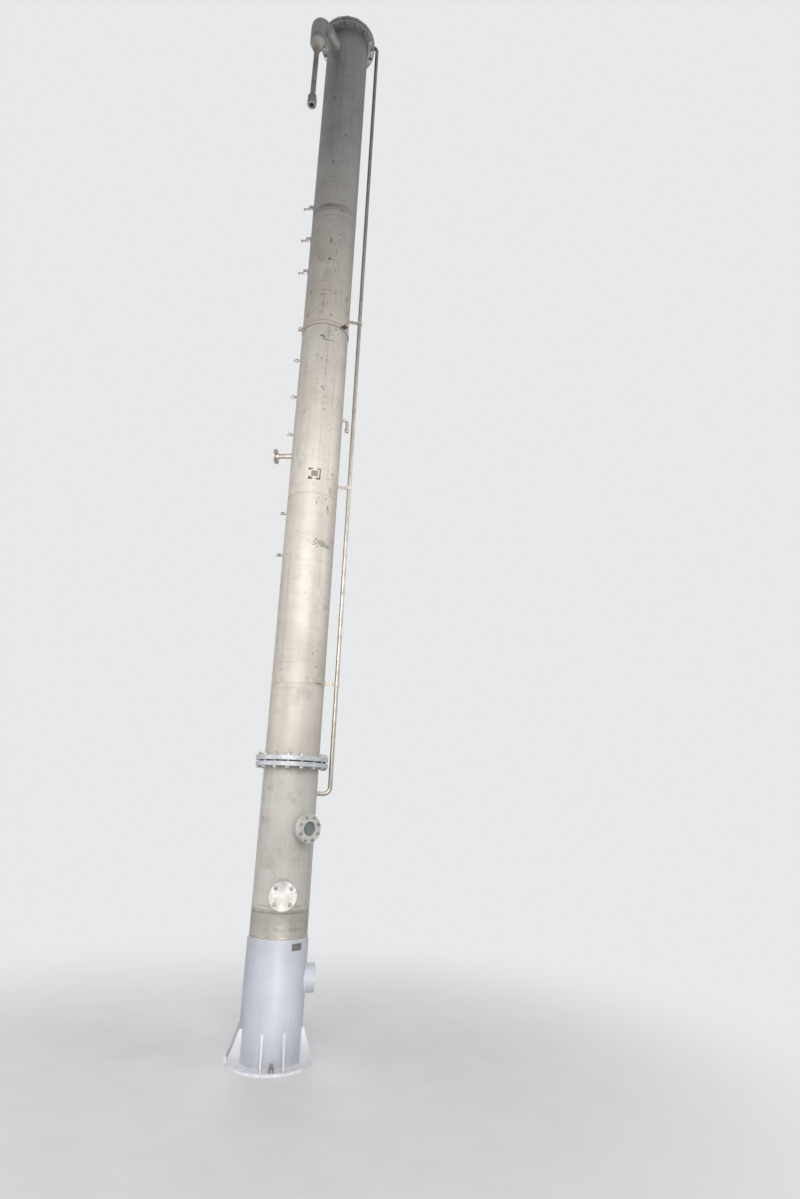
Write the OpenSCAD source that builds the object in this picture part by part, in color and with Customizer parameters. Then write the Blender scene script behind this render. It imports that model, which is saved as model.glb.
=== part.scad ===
/* [Shell] */
// Outside diameter of the column shell
shell_od = 406.4; // [400:0.2:412]
// Wall of the shell courses
shell_t = 4; // [3:0.5:6]
// Length of the first course above the body joint
course_1_l = 562; // [400:1:700]
// Length of the second course
course_2_l = 1540; // [1450:1:1700]
// Length of the third course, up to the braced seam
course_3_l = 1600; // [1500:1:1800]
// Length of the fourth course
course_4_l = 1240; // [1200:1:1500]
// Length of the fifth course, up to the head joint
course_5_l = 2194; // [2100:1:2400]

/* [Sump] */
// Height of the bottom head's tangent line above the floor
bottom_tangent_z = 740; // [730:1:790]
// Straight part of the bottom head above its tangent line
bottom_straight_l = 55; // [50:1:80]
// Length of the short make-up course on the bottom head
make_up_l = 178; // [165:1:220]
// Length of the sump shell, up to its collar
sump_l = 993; // [960:1:1100]

/* [Dished heads] */
// Wall of the two dished heads
head_t = 5; // [4:0.5:8]
// Knuckle radius of the dished heads
head_knuckle = 40.6; // [30:0.2:60]
// Crown radius of the dished heads
head_crown = 406.4; // [380:0.2:450]
// Straight part of the top head above its collar
top_straight_l = 95; // [90:1:120]

/* [Body joints] */
// Outside diameter of the loose ring flanges
ring_od = 540; // [530:1:560]
// Thickness of the loose ring flanges
ring_t = 30; // [20:1:34]
// Bolt circle of the ring flanges
ring_pcd = 495; // [490:1:505]
// Number of bolts in a ring flange
ring_bolts = 16; // [12:4:20]
// Bolt hole in the ring flanges
ring_hole_d = 22; // [18:1:24]
// Outside diameter of the welded collars
collar_od = 465; // [450:1:467]
// Thickness of the welded collars
collar_t = 5; // [4:0.5:10]
// Thickness of the joint gaskets
gasket_t = 2; // [2:0.5:5]

/* [Skirt and base] */
// Plate thickness of the skirt
skirt_t = 10; // [6:0.5:12]
// Height of the skirt's top edge above the floor
skirt_top_z = 775; // [750:1:785]
// Outside diameter of the base ring
base_od = 590; // [570:1:640]
// Inside diameter of the base ring
base_id = 340; // [300:1:360]
// Thickness of the base ring
base_t = 16; // [12:1:25]
// Anchor bolt circle
anchor_pcd = 510; // [500:1:520]
// Number of anchor bolts
anchor_count = 4; // [3:1:6]
// Anchor bolt hole
anchor_hole_d = 26; // [22:1:30]
// Height of the gussets
gusset_h = 206; // [150:1:240]
// Plate thickness of the gussets
gusset_t = 12; // [8:1:16]
// Width of a gusset at its top
gusset_top_w = 14; // [10:1:30]
// Angle from an anchor bolt to the gusset beside it
gusset_offset = 20; // [15:1:30]
// Outside diameter of the access sleeve in the skirt
sleeve_od = 193.7; // [150:0.1:210]
// Wall of the access sleeve
sleeve_t = 8; // [5:0.5:10]
// How far the access sleeve stands out of the skirt
sleeve_proud = 55; // [30:1:80]
// Height of the access sleeve's axis
sleeve_z = 510; // [460:1:540]

/* [Bottom outlet] */
// Outside diameter of the outlet pipe
outlet_od = 60.3; // [48.3:0.1:76.1]
// Straight drop from the bottom head to the outlet bend
outlet_drop = 30; // [20:1:60]
// Bend radius of the outlet
outlet_bend = 76; // [70:1:110]
// Distance from the axis to the outlet flange's face
outlet_reach = 330; // [320:1:420]
// Outside diameter of the outlet's sleeve in the skirt
outlet_sleeve_od = 101.6; // [95:0.1:120]

/* [Sight glass and hand hole] */
// Height of the sight glass above the floor
sight_z = 1510; // [1450:1:1600]
// Angle of the sight glass, from the front towards the right
sight_phi = 30; // [25:1:40]
// Outside diameter of the sight glass pad and cover
sight_od = 195; // [190:1:205]
// Clear view through the sight glass
sight_view_d = 100; // [90:1:108]
// Height of the hand hole above the floor
hand_z = 1070; // [1060:1:1120]
// Angle of the hand hole, from the front towards the right
hand_phi = -3; // [-15:1:5]
// Outside diameter of the hand hole neck
hand_neck_od = 88.9; // [76.1:0.1:100]
// Distance from the column axis to the faces of these two fittings
window_reach = 280; // [265:1:300]

/* [Side nozzles] */
// Height of the lower reboiler nozzle
draw_z = 1125; // [1120:1:1180]
// Height of the upper reboiler nozzle
vapour_return_z = 1640; // [1600:1:1700]
// Height of the feed nozzle above the body joint
feed_rise = 2530; // [2480:1:2600]
// Height of the small return nozzle above the body joint
return_rise = 2880; // [2800:1:2950]

/* [Sample points] */
// Height of the lowest thermowell above the body joint
well_rise = 1640; // [1600:1:1700]
// Spacing of the thermowells
well_pitch = 365; // [360:1:372]
// Height of the lowest sample valve above the body joint
sample_rise = 4395; // [4350:1:4450]
// Spacing of the sample valves
sample_pitch = 362; // [300:1:400]

/* [Vapour outlet] */
// Outside diameter of the vapour pipe
vapour_od = 139.7; // [114.3:0.1:139.7]
// Wall of the vapour pipe
vapour_t = 3; // [2:0.5:5]
// Bend radius of the vapour elbow
vapour_bend = 127; // [110:0.5:190]
// Distance from the column axis to the falling leg
vapour_reach = 480; // [420:1:560]
// Straight leg below the vapour elbow
vapour_leg = 160; // [40:1:240]
// Depth of the vapour nozzle below the head joint
vapour_depth = 250; // [180:1:320]
// Angle of the vapour nozzle, from the front towards the right
vapour_phi = -42; // [-60:1:-35]
// Outside diameter of the overhead pipe below the reducer
overhead_od = 48.3; // [42.4:0.1:60.3]
// Length of the overhead pipe from the reducer to its union
overhead_l = 570; // [300:1:900]

/* [Side tube] */
// Outside diameter of the side tube
side_od = 33.7; // [26.9:0.1:33.7]
// Distance from the column axis to the side tube
side_reach = 300; // [295:1:330]
// Height of the side tube's lower end above the floor
side_low_z = 1752; // [1740:1:1800]

/* [Brace] */
// Height of the brace band above the body joint
brace_rise = 3705; // [3650:1:3760]
// Height of the band
band_h = 26; // [20:1:50]
// Thickness of the band
band_t = 6; // [4:0.5:10]

/* [Hidden] */
$fn = 96;

// Clearance between curved faces that meet
fit = 0.3;
// Overrun of a cutting tool past the face it cuts
over = 1;

shell_r = shell_od / 2;
shell_ir = shell_r - shell_t;

// Heights, built up from the floor
bottom_top_z = bottom_tangent_z + bottom_straight_l;
make_up_top_z = bottom_top_z + make_up_l;
sump_top_z = make_up_top_z + sump_l;
body_joint_z = sump_top_z + collar_t + gasket_t / 2;
seam_0_z = body_joint_z + gasket_t / 2 + collar_t;
seam_1_z = seam_0_z + course_1_l;
seam_2_z = seam_1_z + course_2_l;
seam_3_z = seam_2_z + course_3_l;
seam_4_z = seam_3_z + course_4_l;
seam_5_z = seam_4_z + course_5_l;
head_joint_z = seam_5_z + collar_t + gasket_t / 2;
head_seat_z = head_joint_z + gasket_t / 2 + collar_t;
head_tangent_z = head_seat_z + top_straight_l;

// Steps in each arc of a dished head
dish_steps = 14;

// Clearance between the shell and the bore of a loose ring flange
ring_play = 2.5;
// How far a joint gasket stays inside the collar's edge and outside its bore
gasket_edge = 3;
gasket_bore_play = 4;

// Skirt, slipped over the straight part of the bottom head
skirt_ir = shell_r + fit;
skirt_or = skirt_ir + skirt_t;
gusset_inset = 4;
gusset_toe_h = 16;
outlet_sleeve_t = 5;
outlet_sleeve_proud = 20;
outlet_t = 3;

// Pipe flanges: outside diameter, thickness, raised face, bolt circle, bolts, hole
flange_100 = [210, 18, 148, 170, 4, 18];
flange_80 = [190, 18, 128, 150, 4, 18];
flange_50 = [140, 16, 90, 110, 4, 14];
flange_40 = [130, 16, 80, 100, 4, 14];
face_h = 2;
hub_l = 26;
hub_rise = 6;

// Sight glass
sight_pad_t = 22;
sight_cover_t = 16;
sight_rebate = 8;
sight_disc_t = 15;
sight_disc_lap = 12;
sight_disc_d = sight_view_d + 2 * sight_disc_lap;
sight_play = 0.5;
sight_pcd = 162;
sight_bolts = 8;
sight_hole_d = 14;
sight_neck_t = 5;
sight_neck_od = sight_view_d + 2 * sight_neck_t;
sight_joint = window_reach - sight_cover_t;

// Hand hole
hand_neck_t = 4;
hand_gasket_t = 2;
hand_gasket_w = 15;
hand_joint = window_reach - flange_80[1] - hand_gasket_t;

// Reboiler nozzles, on the back
back_phi = 180;
reboiler_od = 114.3;
reboiler_t = 4;
reboiler_reach = 370;

// Nozzles of the column
left_phi = -110;
feed_od = 48.3;
feed_t = 3;
feed_reach = 355;
return_phi = 80;
return_od = 26.9;
return_t = 2.5;
return_bend = 29;
return_reach = 246;
return_leg = 46;
return_socket_od = 38;
return_socket_l = 34;

// Thermowells and sample valves, on the left
well_count = 6;
well_od = 21.3;
well_t = 3;
well_stub_l = 30;
well_cap_af = 30;
well_cap_l = 20;
well_head_d = 16;
well_head_l = 12;
sample_count = 3;
sample_od = 17.2;
sample_t = 2.5;
sample_stub_l = 12;
valve_af = 27;
valve_l = 38;
valve_tail_d = 18;
valve_tail_l = 52;
valve_stem_d = 10;
valve_stem_h = 16;
valve_bar_l = 42;
valve_bar_d = 18;

// Vapour outlet and overhead pipe
reducer_l = 130;
reducer_land = 13;
overhead_t = 2.6;
union_d = 84;
union_h = 60;
union_af = 72;
union_hex_h = 40;

// Side tube
side_phi = 90;
side_t = 2.5;
side_bend = 48;
side_top_rise = 80;
side_top_z = head_joint_z + side_top_rise;
side_clips = [608, 2275, 3900];
clip_h = 30;
clip_t = 5;

// Brace
clamp_phi = -81;
clamp_gap = 8;
clamp_t = 10;
clamp_l = 34;
clamp_hole_d = 14;
lug_phi = 39;
lug_step = 120;
lug_count = 2;
lug_l = 38;
lug_w = 40;
lug_t = 10;
lug_hole_d = 14;

// Colours
steel = [0.74, 0.71, 0.67];
dull_steel = [0.62, 0.61, 0.59];
zinc = [0.68, 0.71, 0.74];
paint = [0.80, 0.82, 0.85];
rust = [0.42, 0.26, 0.18];
dark = [0.20, 0.20, 0.21];

// The third pitch is left out, because the feed nozzle stands there
well_heights = [
    for (k = [0 : well_count - 1])
        if (k != 2) body_joint_z + well_rise + k * well_pitch
];
sample_heights = [
    for (k = [0 : sample_count - 1]) body_joint_z + sample_rise + k * sample_pitch
];
feed_z = body_joint_z + feed_rise;
return_z = body_joint_z + return_rise;
vapour_z = head_joint_z - vapour_depth;
vapour_end_z = vapour_z - vapour_bend - vapour_leg;
reducer_end_z = vapour_end_z - reducer_l;
brace_z = body_joint_z + brace_rise;

// Openings in the shell: angle, height, radius of the neck that stands in it
ports = concat(
    [
        [sight_phi, sight_z, sight_neck_od / 2],
        [hand_phi, hand_z, hand_neck_od / 2],
        [back_phi, draw_z, reboiler_od / 2],
        [back_phi, vapour_return_z, reboiler_od / 2],
        [side_phi, side_low_z, side_od / 2],
        [left_phi, feed_z, feed_od / 2],
        [return_phi, return_z, return_od / 2],
        [vapour_phi, vapour_z, vapour_od / 2]
    ],
    [for (z = well_heights) [left_phi, z, well_od / 2]],
    [for (z = sample_heights) [left_phi, z, sample_od / 2]]
);

// Outer depth of a dished head from its tangent line
head_depth = head_crown
    - sqrt(pow(head_crown - head_knuckle, 2) - pow(shell_r - head_knuckle, 2));
bottom_low_z = bottom_tangent_z - head_depth;
outlet_z = bottom_low_z - outlet_drop - outlet_bend;

// Turns a piece built facing the front to its angle round the column
module turned(phi) {
    rotate([0, 0, phi]) children();
}

// Frame at a height, facing the front: +Z points out of the column, +Y up
module at(z) {
    translate([0, 0, z]) rotate([90, 0, 0]) children();
}

module tube(od, t, l) {
    difference() {
        cylinder(h = l, d = od);
        translate([0, 0, -over]) cylinder(h = l + 2 * over, d = od - 2 * t);
    }
}

// Quarter bend in the YZ plane, from +Z over to -Y, centred on the origin
module bend(od, t, radius) {
    rotate([180, -90, 0]) rotate_extrude(angle = 90) translate([radius, 0]) difference() {
        circle(d = od);
        circle(d = od - 2 * t);
    }
}

module bolt_holes(pcd, count, d, depth) {
    for (k = [0 : count - 1]) {
        rotate([0, 0, (k + 0.5) * 360 / count]) translate([pcd / 2, 0, -over]) {
            cylinder(h = depth + 2 * over, d = d, $fn = 32);
        }
    }
}

// Pipe that faces the front, set into the shell and cut flush with the shell's bore
module neck(z, od, t, reach) {
    start = shell_ir - od / 2;
    difference() {
        at(z) translate([0, 0, start]) tube(od, t, reach - start);
        translate([0, 0, z - od]) cylinder(h = 2 * od, r = shell_ir);
    }
}

// Weld-neck flange, its weld end at z = 0
module neck_flange(row, pipe_od, t) {
    bore = pipe_od / 2 - t;
    top = hub_l + row[1];
    difference() {
        rotate_extrude() polygon([
            [bore, 0], [pipe_od / 2, 0], [pipe_od / 2 + hub_rise, hub_l],
            [row[0] / 2, hub_l], [row[0] / 2, top - face_h],
            [row[2] / 2, top - face_h], [row[2] / 2, top], [bore, top]
        ]);
        bolt_holes(row[3], row[4], row[5], top);
    }
}

module flanged_nozzle(z, pipe_od, t, reach, row) {
    weld = reach - hub_l - row[1];
    neck(z, pipe_od, t, weld);
    at(z) translate([0, 0, weld]) neck_flange(row, pipe_od, t);
}

// Arc points of a dished head's section, from the tangent line to the crown
function dish_arc(inset) = let (
    kx = shell_r - head_knuckle,
    sink = sqrt(pow(head_crown - head_knuckle, 2) - pow(kx, 2)),
    turn = atan2(sink, kx)
) concat(
    [for (k = [0 : dish_steps]) let (a = turn * k / dish_steps)
        [kx + (head_knuckle - inset) * cos(a), (head_knuckle - inset) * sin(a)]],
    [for (k = [1 : dish_steps]) let (a = turn + (90 - turn) * k / dish_steps)
        [(head_crown - inset) * cos(a), (head_crown - inset) * sin(a) - sink]]
);

// Dished head, its straight part below the tangent line
module dished_head(straight) {
    outside = dish_arc(0);
    inside = dish_arc(head_t);
    last = len(inside) - 1;
    rotate_extrude() polygon(concat(
        [[shell_r, -straight]], outside, [for (k = [0 : last]) inside[last - k]],
        [[shell_r - head_t, -straight]]
    ));
}

// Shell course with the openings that fall in it
module course(z0, z1) {
    difference() {
        translate([0, 0, z0]) tube(shell_od, shell_t, z1 - z0);
        for (p = ports) {
            if (p[1] + p[2] + fit > z0 && p[1] - p[2] - fit < z1) {
                turned(p[0]) at(p[1]) cylinder(h = shell_r + over, r = p[2] + fit);
            }
        }
    }
}

module collar(z) {
    translate([0, 0, z]) difference() {
        cylinder(h = collar_t, d = collar_od);
        translate([0, 0, -over]) cylinder(h = collar_t + 2 * over, r = shell_ir);
    }
}

module ring_flange(z) {
    color(zinc) translate([0, 0, z]) difference() {
        cylinder(h = ring_t, d = ring_od);
        translate([0, 0, -over]) cylinder(h = ring_t + 2 * over, r = shell_r + ring_play);
        bolt_holes(ring_pcd, ring_bolts, ring_hole_d, ring_t);
    }
}

module joint_gasket(z) {
    color(dark) translate([0, 0, z - gasket_t / 2]) difference() {
        cylinder(h = gasket_t, r = collar_od / 2 - gasket_edge);
        translate([0, 0, -over]) cylinder(h = gasket_t + 2 * over, r = shell_ir + gasket_bore_play);
    }
}

// Base and skirt

module base_ring() {
    color(paint) difference() {
        cylinder(h = base_t, d = base_od);
        translate([0, 0, -over]) cylinder(h = base_t + 2 * over, d = base_id);
        for (k = [0 : anchor_count - 1]) {
            rotate([0, 0, k * 360 / anchor_count]) {
                translate([0, -anchor_pcd / 2, -over]) {
                    cylinder(h = base_t + 2 * over, d = anchor_hole_d, $fn = 32);
                }
            }
        }
    }
}

module base_gussets() {
    foot_w = base_od / 2 - gusset_inset - skirt_or - fit;
    color(paint) for (k = [0 : anchor_count - 1], s = [-1, 1]) {
        rotate([0, 0, k * 360 / anchor_count + s * gusset_offset]) {
            translate([gusset_t / 2, -skirt_or - fit, base_t]) rotate([90, 0, -90]) {
                linear_extrude(height = gusset_t) polygon([
                    [0, 0], [foot_w, 0], [foot_w, gusset_toe_h],
                    [gusset_top_w, gusset_h], [0, gusset_h]
                ]);
            }
        }
    }
}

module skirt() {
    color(paint) difference() {
        translate([0, 0, base_t]) cylinder(h = skirt_top_z - base_t, r = skirt_or);
        cylinder(h = skirt_top_z + over, r = skirt_ir);
        turned(side_phi) at(sleeve_z) cylinder(h = skirt_or + over, r = sleeve_od / 2 + fit);
        turned(back_phi) at(outlet_z) {
            cylinder(h = skirt_or + over, r = outlet_sleeve_od / 2 + fit);
        }
    }
}

// Pipe sleeve set through the skirt and cut flush with the skirt's bore
module pipe_sleeve(z, od, t, proud) {
    start = skirt_ir - od / 2;
    difference() {
        at(z) translate([0, 0, start]) tube(od, t, skirt_or + proud - start);
        translate([0, 0, z - od]) cylinder(h = 2 * od, r = skirt_ir);
    }
}

module skirt_sleeve() {
    color(paint) turned(side_phi) pipe_sleeve(sleeve_z, sleeve_od, sleeve_t, sleeve_proud);
}

module outlet_sleeve() {
    color(paint) turned(back_phi) {
        pipe_sleeve(outlet_z, outlet_sleeve_od, outlet_sleeve_t, outlet_sleeve_proud);
    }
}

// Bottom

module bottom_head() {
    color(steel) difference() {
        translate([0, 0, bottom_tangent_z]) mirror([0, 0, 1]) dished_head(bottom_straight_l);
        translate([0, 0, bottom_low_z - over]) {
            cylinder(h = 4 * head_t, r = outlet_od / 2 + fit);
        }
    }
}

module outlet_pipe() {
    weld = outlet_reach - hub_l - flange_50[1];
    color(steel) turned(back_phi) {
        translate([0, 0, outlet_z + outlet_bend]) tube(outlet_od, outlet_t, outlet_drop + head_t);
        translate([0, -outlet_bend, outlet_z + outlet_bend]) {
            rotate([180, 0, 0]) bend(outlet_od, outlet_t, outlet_bend);
        }
        at(outlet_z) translate([0, 0, outlet_bend]) tube(outlet_od, outlet_t, weld - outlet_bend);
    }
}

module outlet_flange() {
    weld = outlet_reach - hub_l - flange_50[1];
    color(steel) turned(back_phi) at(outlet_z) translate([0, 0, weld]) {
        neck_flange(flange_50, outlet_od, outlet_t);
    }
}

module make_up_course() {
    color(steel) course(bottom_top_z, make_up_top_z);
}

module sump_shell() {
    color(steel) {
        course(make_up_top_z, sump_top_z);
        collar(sump_top_z);
    }
}

// Sight glass

module sight_glass_pad() {
    face = sight_joint;
    color(steel) turned(sight_phi) {
        neck(sight_z, sight_neck_od, sight_neck_t, face - sight_pad_t);
        at(sight_z) translate([0, 0, face - sight_pad_t]) difference() {
            cylinder(h = sight_pad_t, d = sight_od);
            translate([0, 0, -over]) cylinder(h = sight_pad_t + 2 * over, d = sight_view_d);
            translate([0, 0, sight_pad_t - sight_rebate]) {
                cylinder(h = sight_rebate + over, r = sight_disc_d / 2 + sight_play);
            }
            bolt_holes(sight_pcd, sight_bolts, sight_hole_d, sight_pad_t);
        }
    }
}

module sight_glass_disc() {
    color([0.55, 0.65, 0.62]) turned(sight_phi) at(sight_z) {
        translate([0, 0, sight_joint - sight_rebate]) cylinder(h = sight_disc_t, d = sight_disc_d);
    }
}

module sight_glass_cover() {
    seat = sight_disc_t - sight_rebate;
    color(steel) turned(sight_phi) at(sight_z) translate([0, 0, sight_joint]) difference() {
        cylinder(h = sight_cover_t, d = sight_od);
        translate([0, 0, -over]) cylinder(h = sight_cover_t + 2 * over, d = sight_view_d);
        translate([0, 0, -over]) cylinder(h = seat + over, r = sight_disc_d / 2 + sight_play);
        bolt_holes(sight_pcd, sight_bolts, sight_hole_d, sight_cover_t);
    }
}

// Hand hole

module hand_hole_neck() {
    row = flange_80;
    color(steel) turned(hand_phi) {
        neck(hand_z, hand_neck_od, hand_neck_t, hand_joint - row[1]);
        at(hand_z) translate([0, 0, hand_joint - row[1]]) difference() {
            union() {
                cylinder(h = row[1] - face_h, d = row[0]);
                cylinder(h = row[1], d = row[2]);
            }
            translate([0, 0, -over]) {
                cylinder(h = row[1] + 2 * over, d = hand_neck_od - 2 * hand_neck_t);
            }
            bolt_holes(row[3], row[4], row[5], row[1]);
        }
    }
}

module hand_hole_gasket() {
    color(dark) turned(hand_phi) at(hand_z) translate([0, 0, hand_joint]) {
        tube(flange_80[2], hand_gasket_w, hand_gasket_t);
    }
}

module hand_hole_cover() {
    row = flange_80;
    color(steel) turned(hand_phi) at(hand_z) {
        translate([0, 0, hand_joint + hand_gasket_t]) difference() {
            union() {
                cylinder(h = row[1], d = row[2]);
                translate([0, 0, face_h]) cylinder(h = row[1] - face_h, d = row[0]);
            }
            bolt_holes(row[3], row[4], row[5], row[1]);
        }
    }
}

module reboiler_nozzles() {
    color(steel) turned(back_phi) for (z = [draw_z, vapour_return_z]) {
        flanged_nozzle(z, reboiler_od, reboiler_t, reboiler_reach, flange_100);
    }
}

// Body joint

module lower_body_flange() {
    ring_flange(sump_top_z - ring_t);
}

module body_gasket() {
    joint_gasket(body_joint_z);
}

module upper_body_flange() {
    ring_flange(seam_0_z);
}

// Column shell

module shell_course_1() {
    color(steel) {
        collar(seam_0_z - collar_t);
        course(seam_0_z, seam_1_z);
    }
}

module shell_course_2() {
    color(steel) course(seam_1_z, seam_2_z);
}

module shell_course_3() {
    color(steel) course(seam_2_z, seam_3_z);
}

module shell_course_4() {
    color(steel) course(seam_3_z, seam_4_z);
}

module shell_course_5() {
    color(steel) {
        course(seam_4_z, seam_5_z);
        collar(seam_5_z);
    }
}

// Brace

module brace_band() {
    inner = shell_r + fit;
    outer = inner + band_t;
    ears_w = clamp_gap + 2 * clamp_t;
    color(dull_steel) turned(clamp_phi) translate([0, 0, brace_z - band_h / 2]) difference() {
        union() {
            cylinder(h = band_h, r = outer);
            translate([-ears_w / 2, -outer - clamp_l, 0]) {
                cube([ears_w, clamp_l + band_t, band_h]);
            }
        }
        translate([0, 0, -over]) cylinder(h = band_h + 2 * over, r = inner);
        translate([-clamp_gap / 2, -outer - clamp_l - over, -over]) {
            cube([clamp_gap, clamp_l + 3 * band_t, band_h + 2 * over]);
        }
        translate([-ears_w, -outer - clamp_l * 0.6, band_h / 2]) rotate([0, 90, 0]) {
            cylinder(h = 2 * ears_w, d = clamp_hole_d, $fn = 32);
        }
    }
}

module brace_lugs() {
    start = shell_r + fit + band_t;
    color(rust) for (k = [0 : lug_count - 1]) {
        difference() {
            turned(lug_phi + k * lug_step) {
                translate([-lug_w / 2, -start - lug_l, brace_z - lug_t / 2]) {
                    cube([lug_w, lug_l + 2 * band_t, lug_t]);
                }
            }
            translate([0, 0, brace_z - lug_t]) cylinder(h = 2 * lug_t, r = start);
            turned(lug_phi + k * lug_step) {
                translate([0, -start - lug_l * 0.55, brace_z - lug_t]) {
                    cylinder(h = 2 * lug_t, d = lug_hole_d, $fn = 32);
                }
            }
        }
    }
}

// Nozzles of the column

module feed_nozzle() {
    color(steel) turned(left_phi) flanged_nozzle(feed_z, feed_od, feed_t, feed_reach, flange_40);
}

module return_nozzle() {
    socket_t = (return_socket_od - return_od) / 2 + return_t;
    color(steel) turned(return_phi) {
        neck(return_z, return_od, return_t, return_reach - return_bend);
        translate([0, return_bend - return_reach, return_z - return_bend]) {
            bend(return_od, return_t, return_bend);
        }
        translate([0, -return_reach, return_z - return_bend - return_leg]) {
            tube(return_od, return_t, return_leg);
            translate([0, 0, -return_socket_l]) {
                tube(return_socket_od, socket_t, return_socket_l);
            }
        }
    }
}

module thermowells() {
    stub_end = shell_r + well_stub_l;
    color(dull_steel) turned(left_phi) for (z = well_heights) {
        neck(z, well_od, well_t, stub_end);
        at(z) translate([0, 0, stub_end]) {
            cylinder(h = well_cap_l, d = well_cap_af / cos(30), $fn = 6);
            cylinder(h = well_cap_l + well_head_l, d = well_head_d, $fn = 24);
        }
    }
}

module sample_nozzles() {
    color(steel) turned(left_phi) for (z = sample_heights) {
        neck(z, sample_od, sample_t, shell_r + sample_stub_l);
    }
}

module sample_valves() {
    start = shell_r + sample_stub_l;
    color(dull_steel) turned(left_phi) for (z = sample_heights) {
        at(z) translate([0, 0, start]) {
            cylinder(h = valve_l, d = valve_af / cos(30), $fn = 6);
            cylinder(h = valve_l + valve_tail_l, d = valve_tail_d, $fn = 24);
            translate([0, 0, valve_l / 2]) rotate([-90, 0, 0]) {
                cylinder(h = valve_af / 2 + valve_stem_h, d = valve_stem_d, $fn = 24);
                translate([0, valve_bar_l / 2, valve_af / 2 + valve_stem_h]) rotate([90, 0, 0]) {
                    cylinder(h = valve_bar_l, d = valve_bar_d, $fn = 24);
                }
            }
        }
    }
}

// Head joint

module lower_head_flange() {
    ring_flange(seam_5_z - ring_t);
}

module head_gasket() {
    joint_gasket(head_joint_z);
}

module upper_head_flange() {
    ring_flange(head_seat_z);
}

module top_head() {
    color(steel) {
        difference() {
            translate([0, 0, head_tangent_z]) dished_head(top_straight_l);
            turned(side_phi) at(side_top_z) cylinder(h = shell_r + over, r = side_od / 2 + fit);
        }
        difference() {
            collar(head_seat_z - collar_t);
            translate([0, 0, head_seat_z - collar_t - over]) {
                cylinder(h = collar_t + 2 * over, r = shell_r - head_t);
            }
        }
    }
}

// Vapour outlet

module vapour_elbow() {
    color(steel) turned(vapour_phi) {
        neck(vapour_z, vapour_od, vapour_t, vapour_reach - vapour_bend);
        translate([0, vapour_bend - vapour_reach, vapour_z - vapour_bend]) {
            bend(vapour_od, vapour_t, vapour_bend);
        }
        translate([0, -vapour_reach, vapour_end_z]) tube(vapour_od, vapour_t, vapour_leg);
    }
}

module vapour_reducer() {
    big = vapour_od / 2;
    small = overhead_od / 2;
    color(steel) turned(vapour_phi) {
        translate([0, -vapour_reach, reducer_end_z]) rotate_extrude() {
            polygon([
                [small - overhead_t, 0], [small, 0], [small, reducer_land],
                [big, reducer_l - reducer_land], [big, reducer_l], [big - vapour_t, reducer_l],
                [big - vapour_t, reducer_l - reducer_land + 1], [small - overhead_t, reducer_land + 1]
            ]);
        }
    }
}

module overhead_pipe() {
    union_t = union_d / 2 - overhead_od / 2 + overhead_t;
    color(steel) turned(vapour_phi) translate([0, -vapour_reach, reducer_end_z - overhead_l]) {
        tube(overhead_od, overhead_t, overhead_l);
        translate([0, 0, -union_h]) tube(union_d, union_t, union_h);
        difference() {
            cylinder(h = union_hex_h, d = union_af / cos(30), $fn = 6);
            translate([0, 0, -over]) cylinder(h = union_hex_h + 2 * over, d = overhead_od - 1);
        }
    }
}

// Side tube

module side_tube() {
    low = side_low_z + side_bend;
    high = side_top_z - side_bend;
    color(steel) turned(side_phi) translate([0, -side_reach, low]) {
        tube(side_od, side_t, high - low);
    }
}

module side_tube_bends() {
    color(steel) turned(side_phi) {
        neck(side_low_z, side_od, side_t, side_reach - side_bend);
        translate([0, side_bend - side_reach, side_low_z + side_bend]) rotate([0, 180, 0]) {
            bend(side_od, side_t, side_bend);
        }
        neck(side_top_z, side_od, side_t, side_reach - side_bend);
        translate([0, side_bend - side_reach, side_top_z - side_bend]) {
            bend(side_od, side_t, side_bend);
        }
    }
}

module side_tube_brackets() {
    clip_or = side_od / 2 + fit + clip_t;
    color(dull_steel) for (rise = side_clips) {
        difference() {
            turned(side_phi) translate([0, 0, body_joint_z + rise - clip_h / 2]) {
                translate([0, -side_reach, 0]) cylinder(h = clip_h, r = clip_or, $fn = 48);
                translate([-clip_t / 2, -side_reach, 0]) {
                    cube([clip_t, side_reach - shell_r + over, clip_h]);
                }
            }
            turned(side_phi) {
                translate([0, -side_reach, body_joint_z + rise - clip_h / 2 - over]) {
                    cylinder(h = clip_h + 2 * over, r = side_od / 2 + fit);
                }
            }
            translate([0, 0, body_joint_z + rise - clip_h]) {
                cylinder(h = 2 * clip_h, r = shell_r + fit);
            }
        }
    }
}

base_ring();
base_gussets();
skirt();
skirt_sleeve();
outlet_sleeve();
bottom_head();
outlet_pipe();
outlet_flange();
make_up_course();
sump_shell();
sight_glass_pad();
sight_glass_disc();
sight_glass_cover();
hand_hole_neck();
hand_hole_gasket();
hand_hole_cover();
reboiler_nozzles();
lower_body_flange();
body_gasket();
upper_body_flange();
shell_course_1();
shell_course_2();
shell_course_3();
shell_course_4();
shell_course_5();
brace_band();
brace_lugs();
feed_nozzle();
return_nozzle();
thermowells();
sample_nozzles();
sample_valves();
lower_head_flange();
head_gasket();
upper_head_flange();
top_head();
vapour_elbow();
vapour_reducer();
overhead_pipe();
side_tube();
side_tube_bends();
side_tube_brackets();
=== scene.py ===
import math
import random

import bmesh
import bpy
from mathutils import Matrix, Vector


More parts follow.
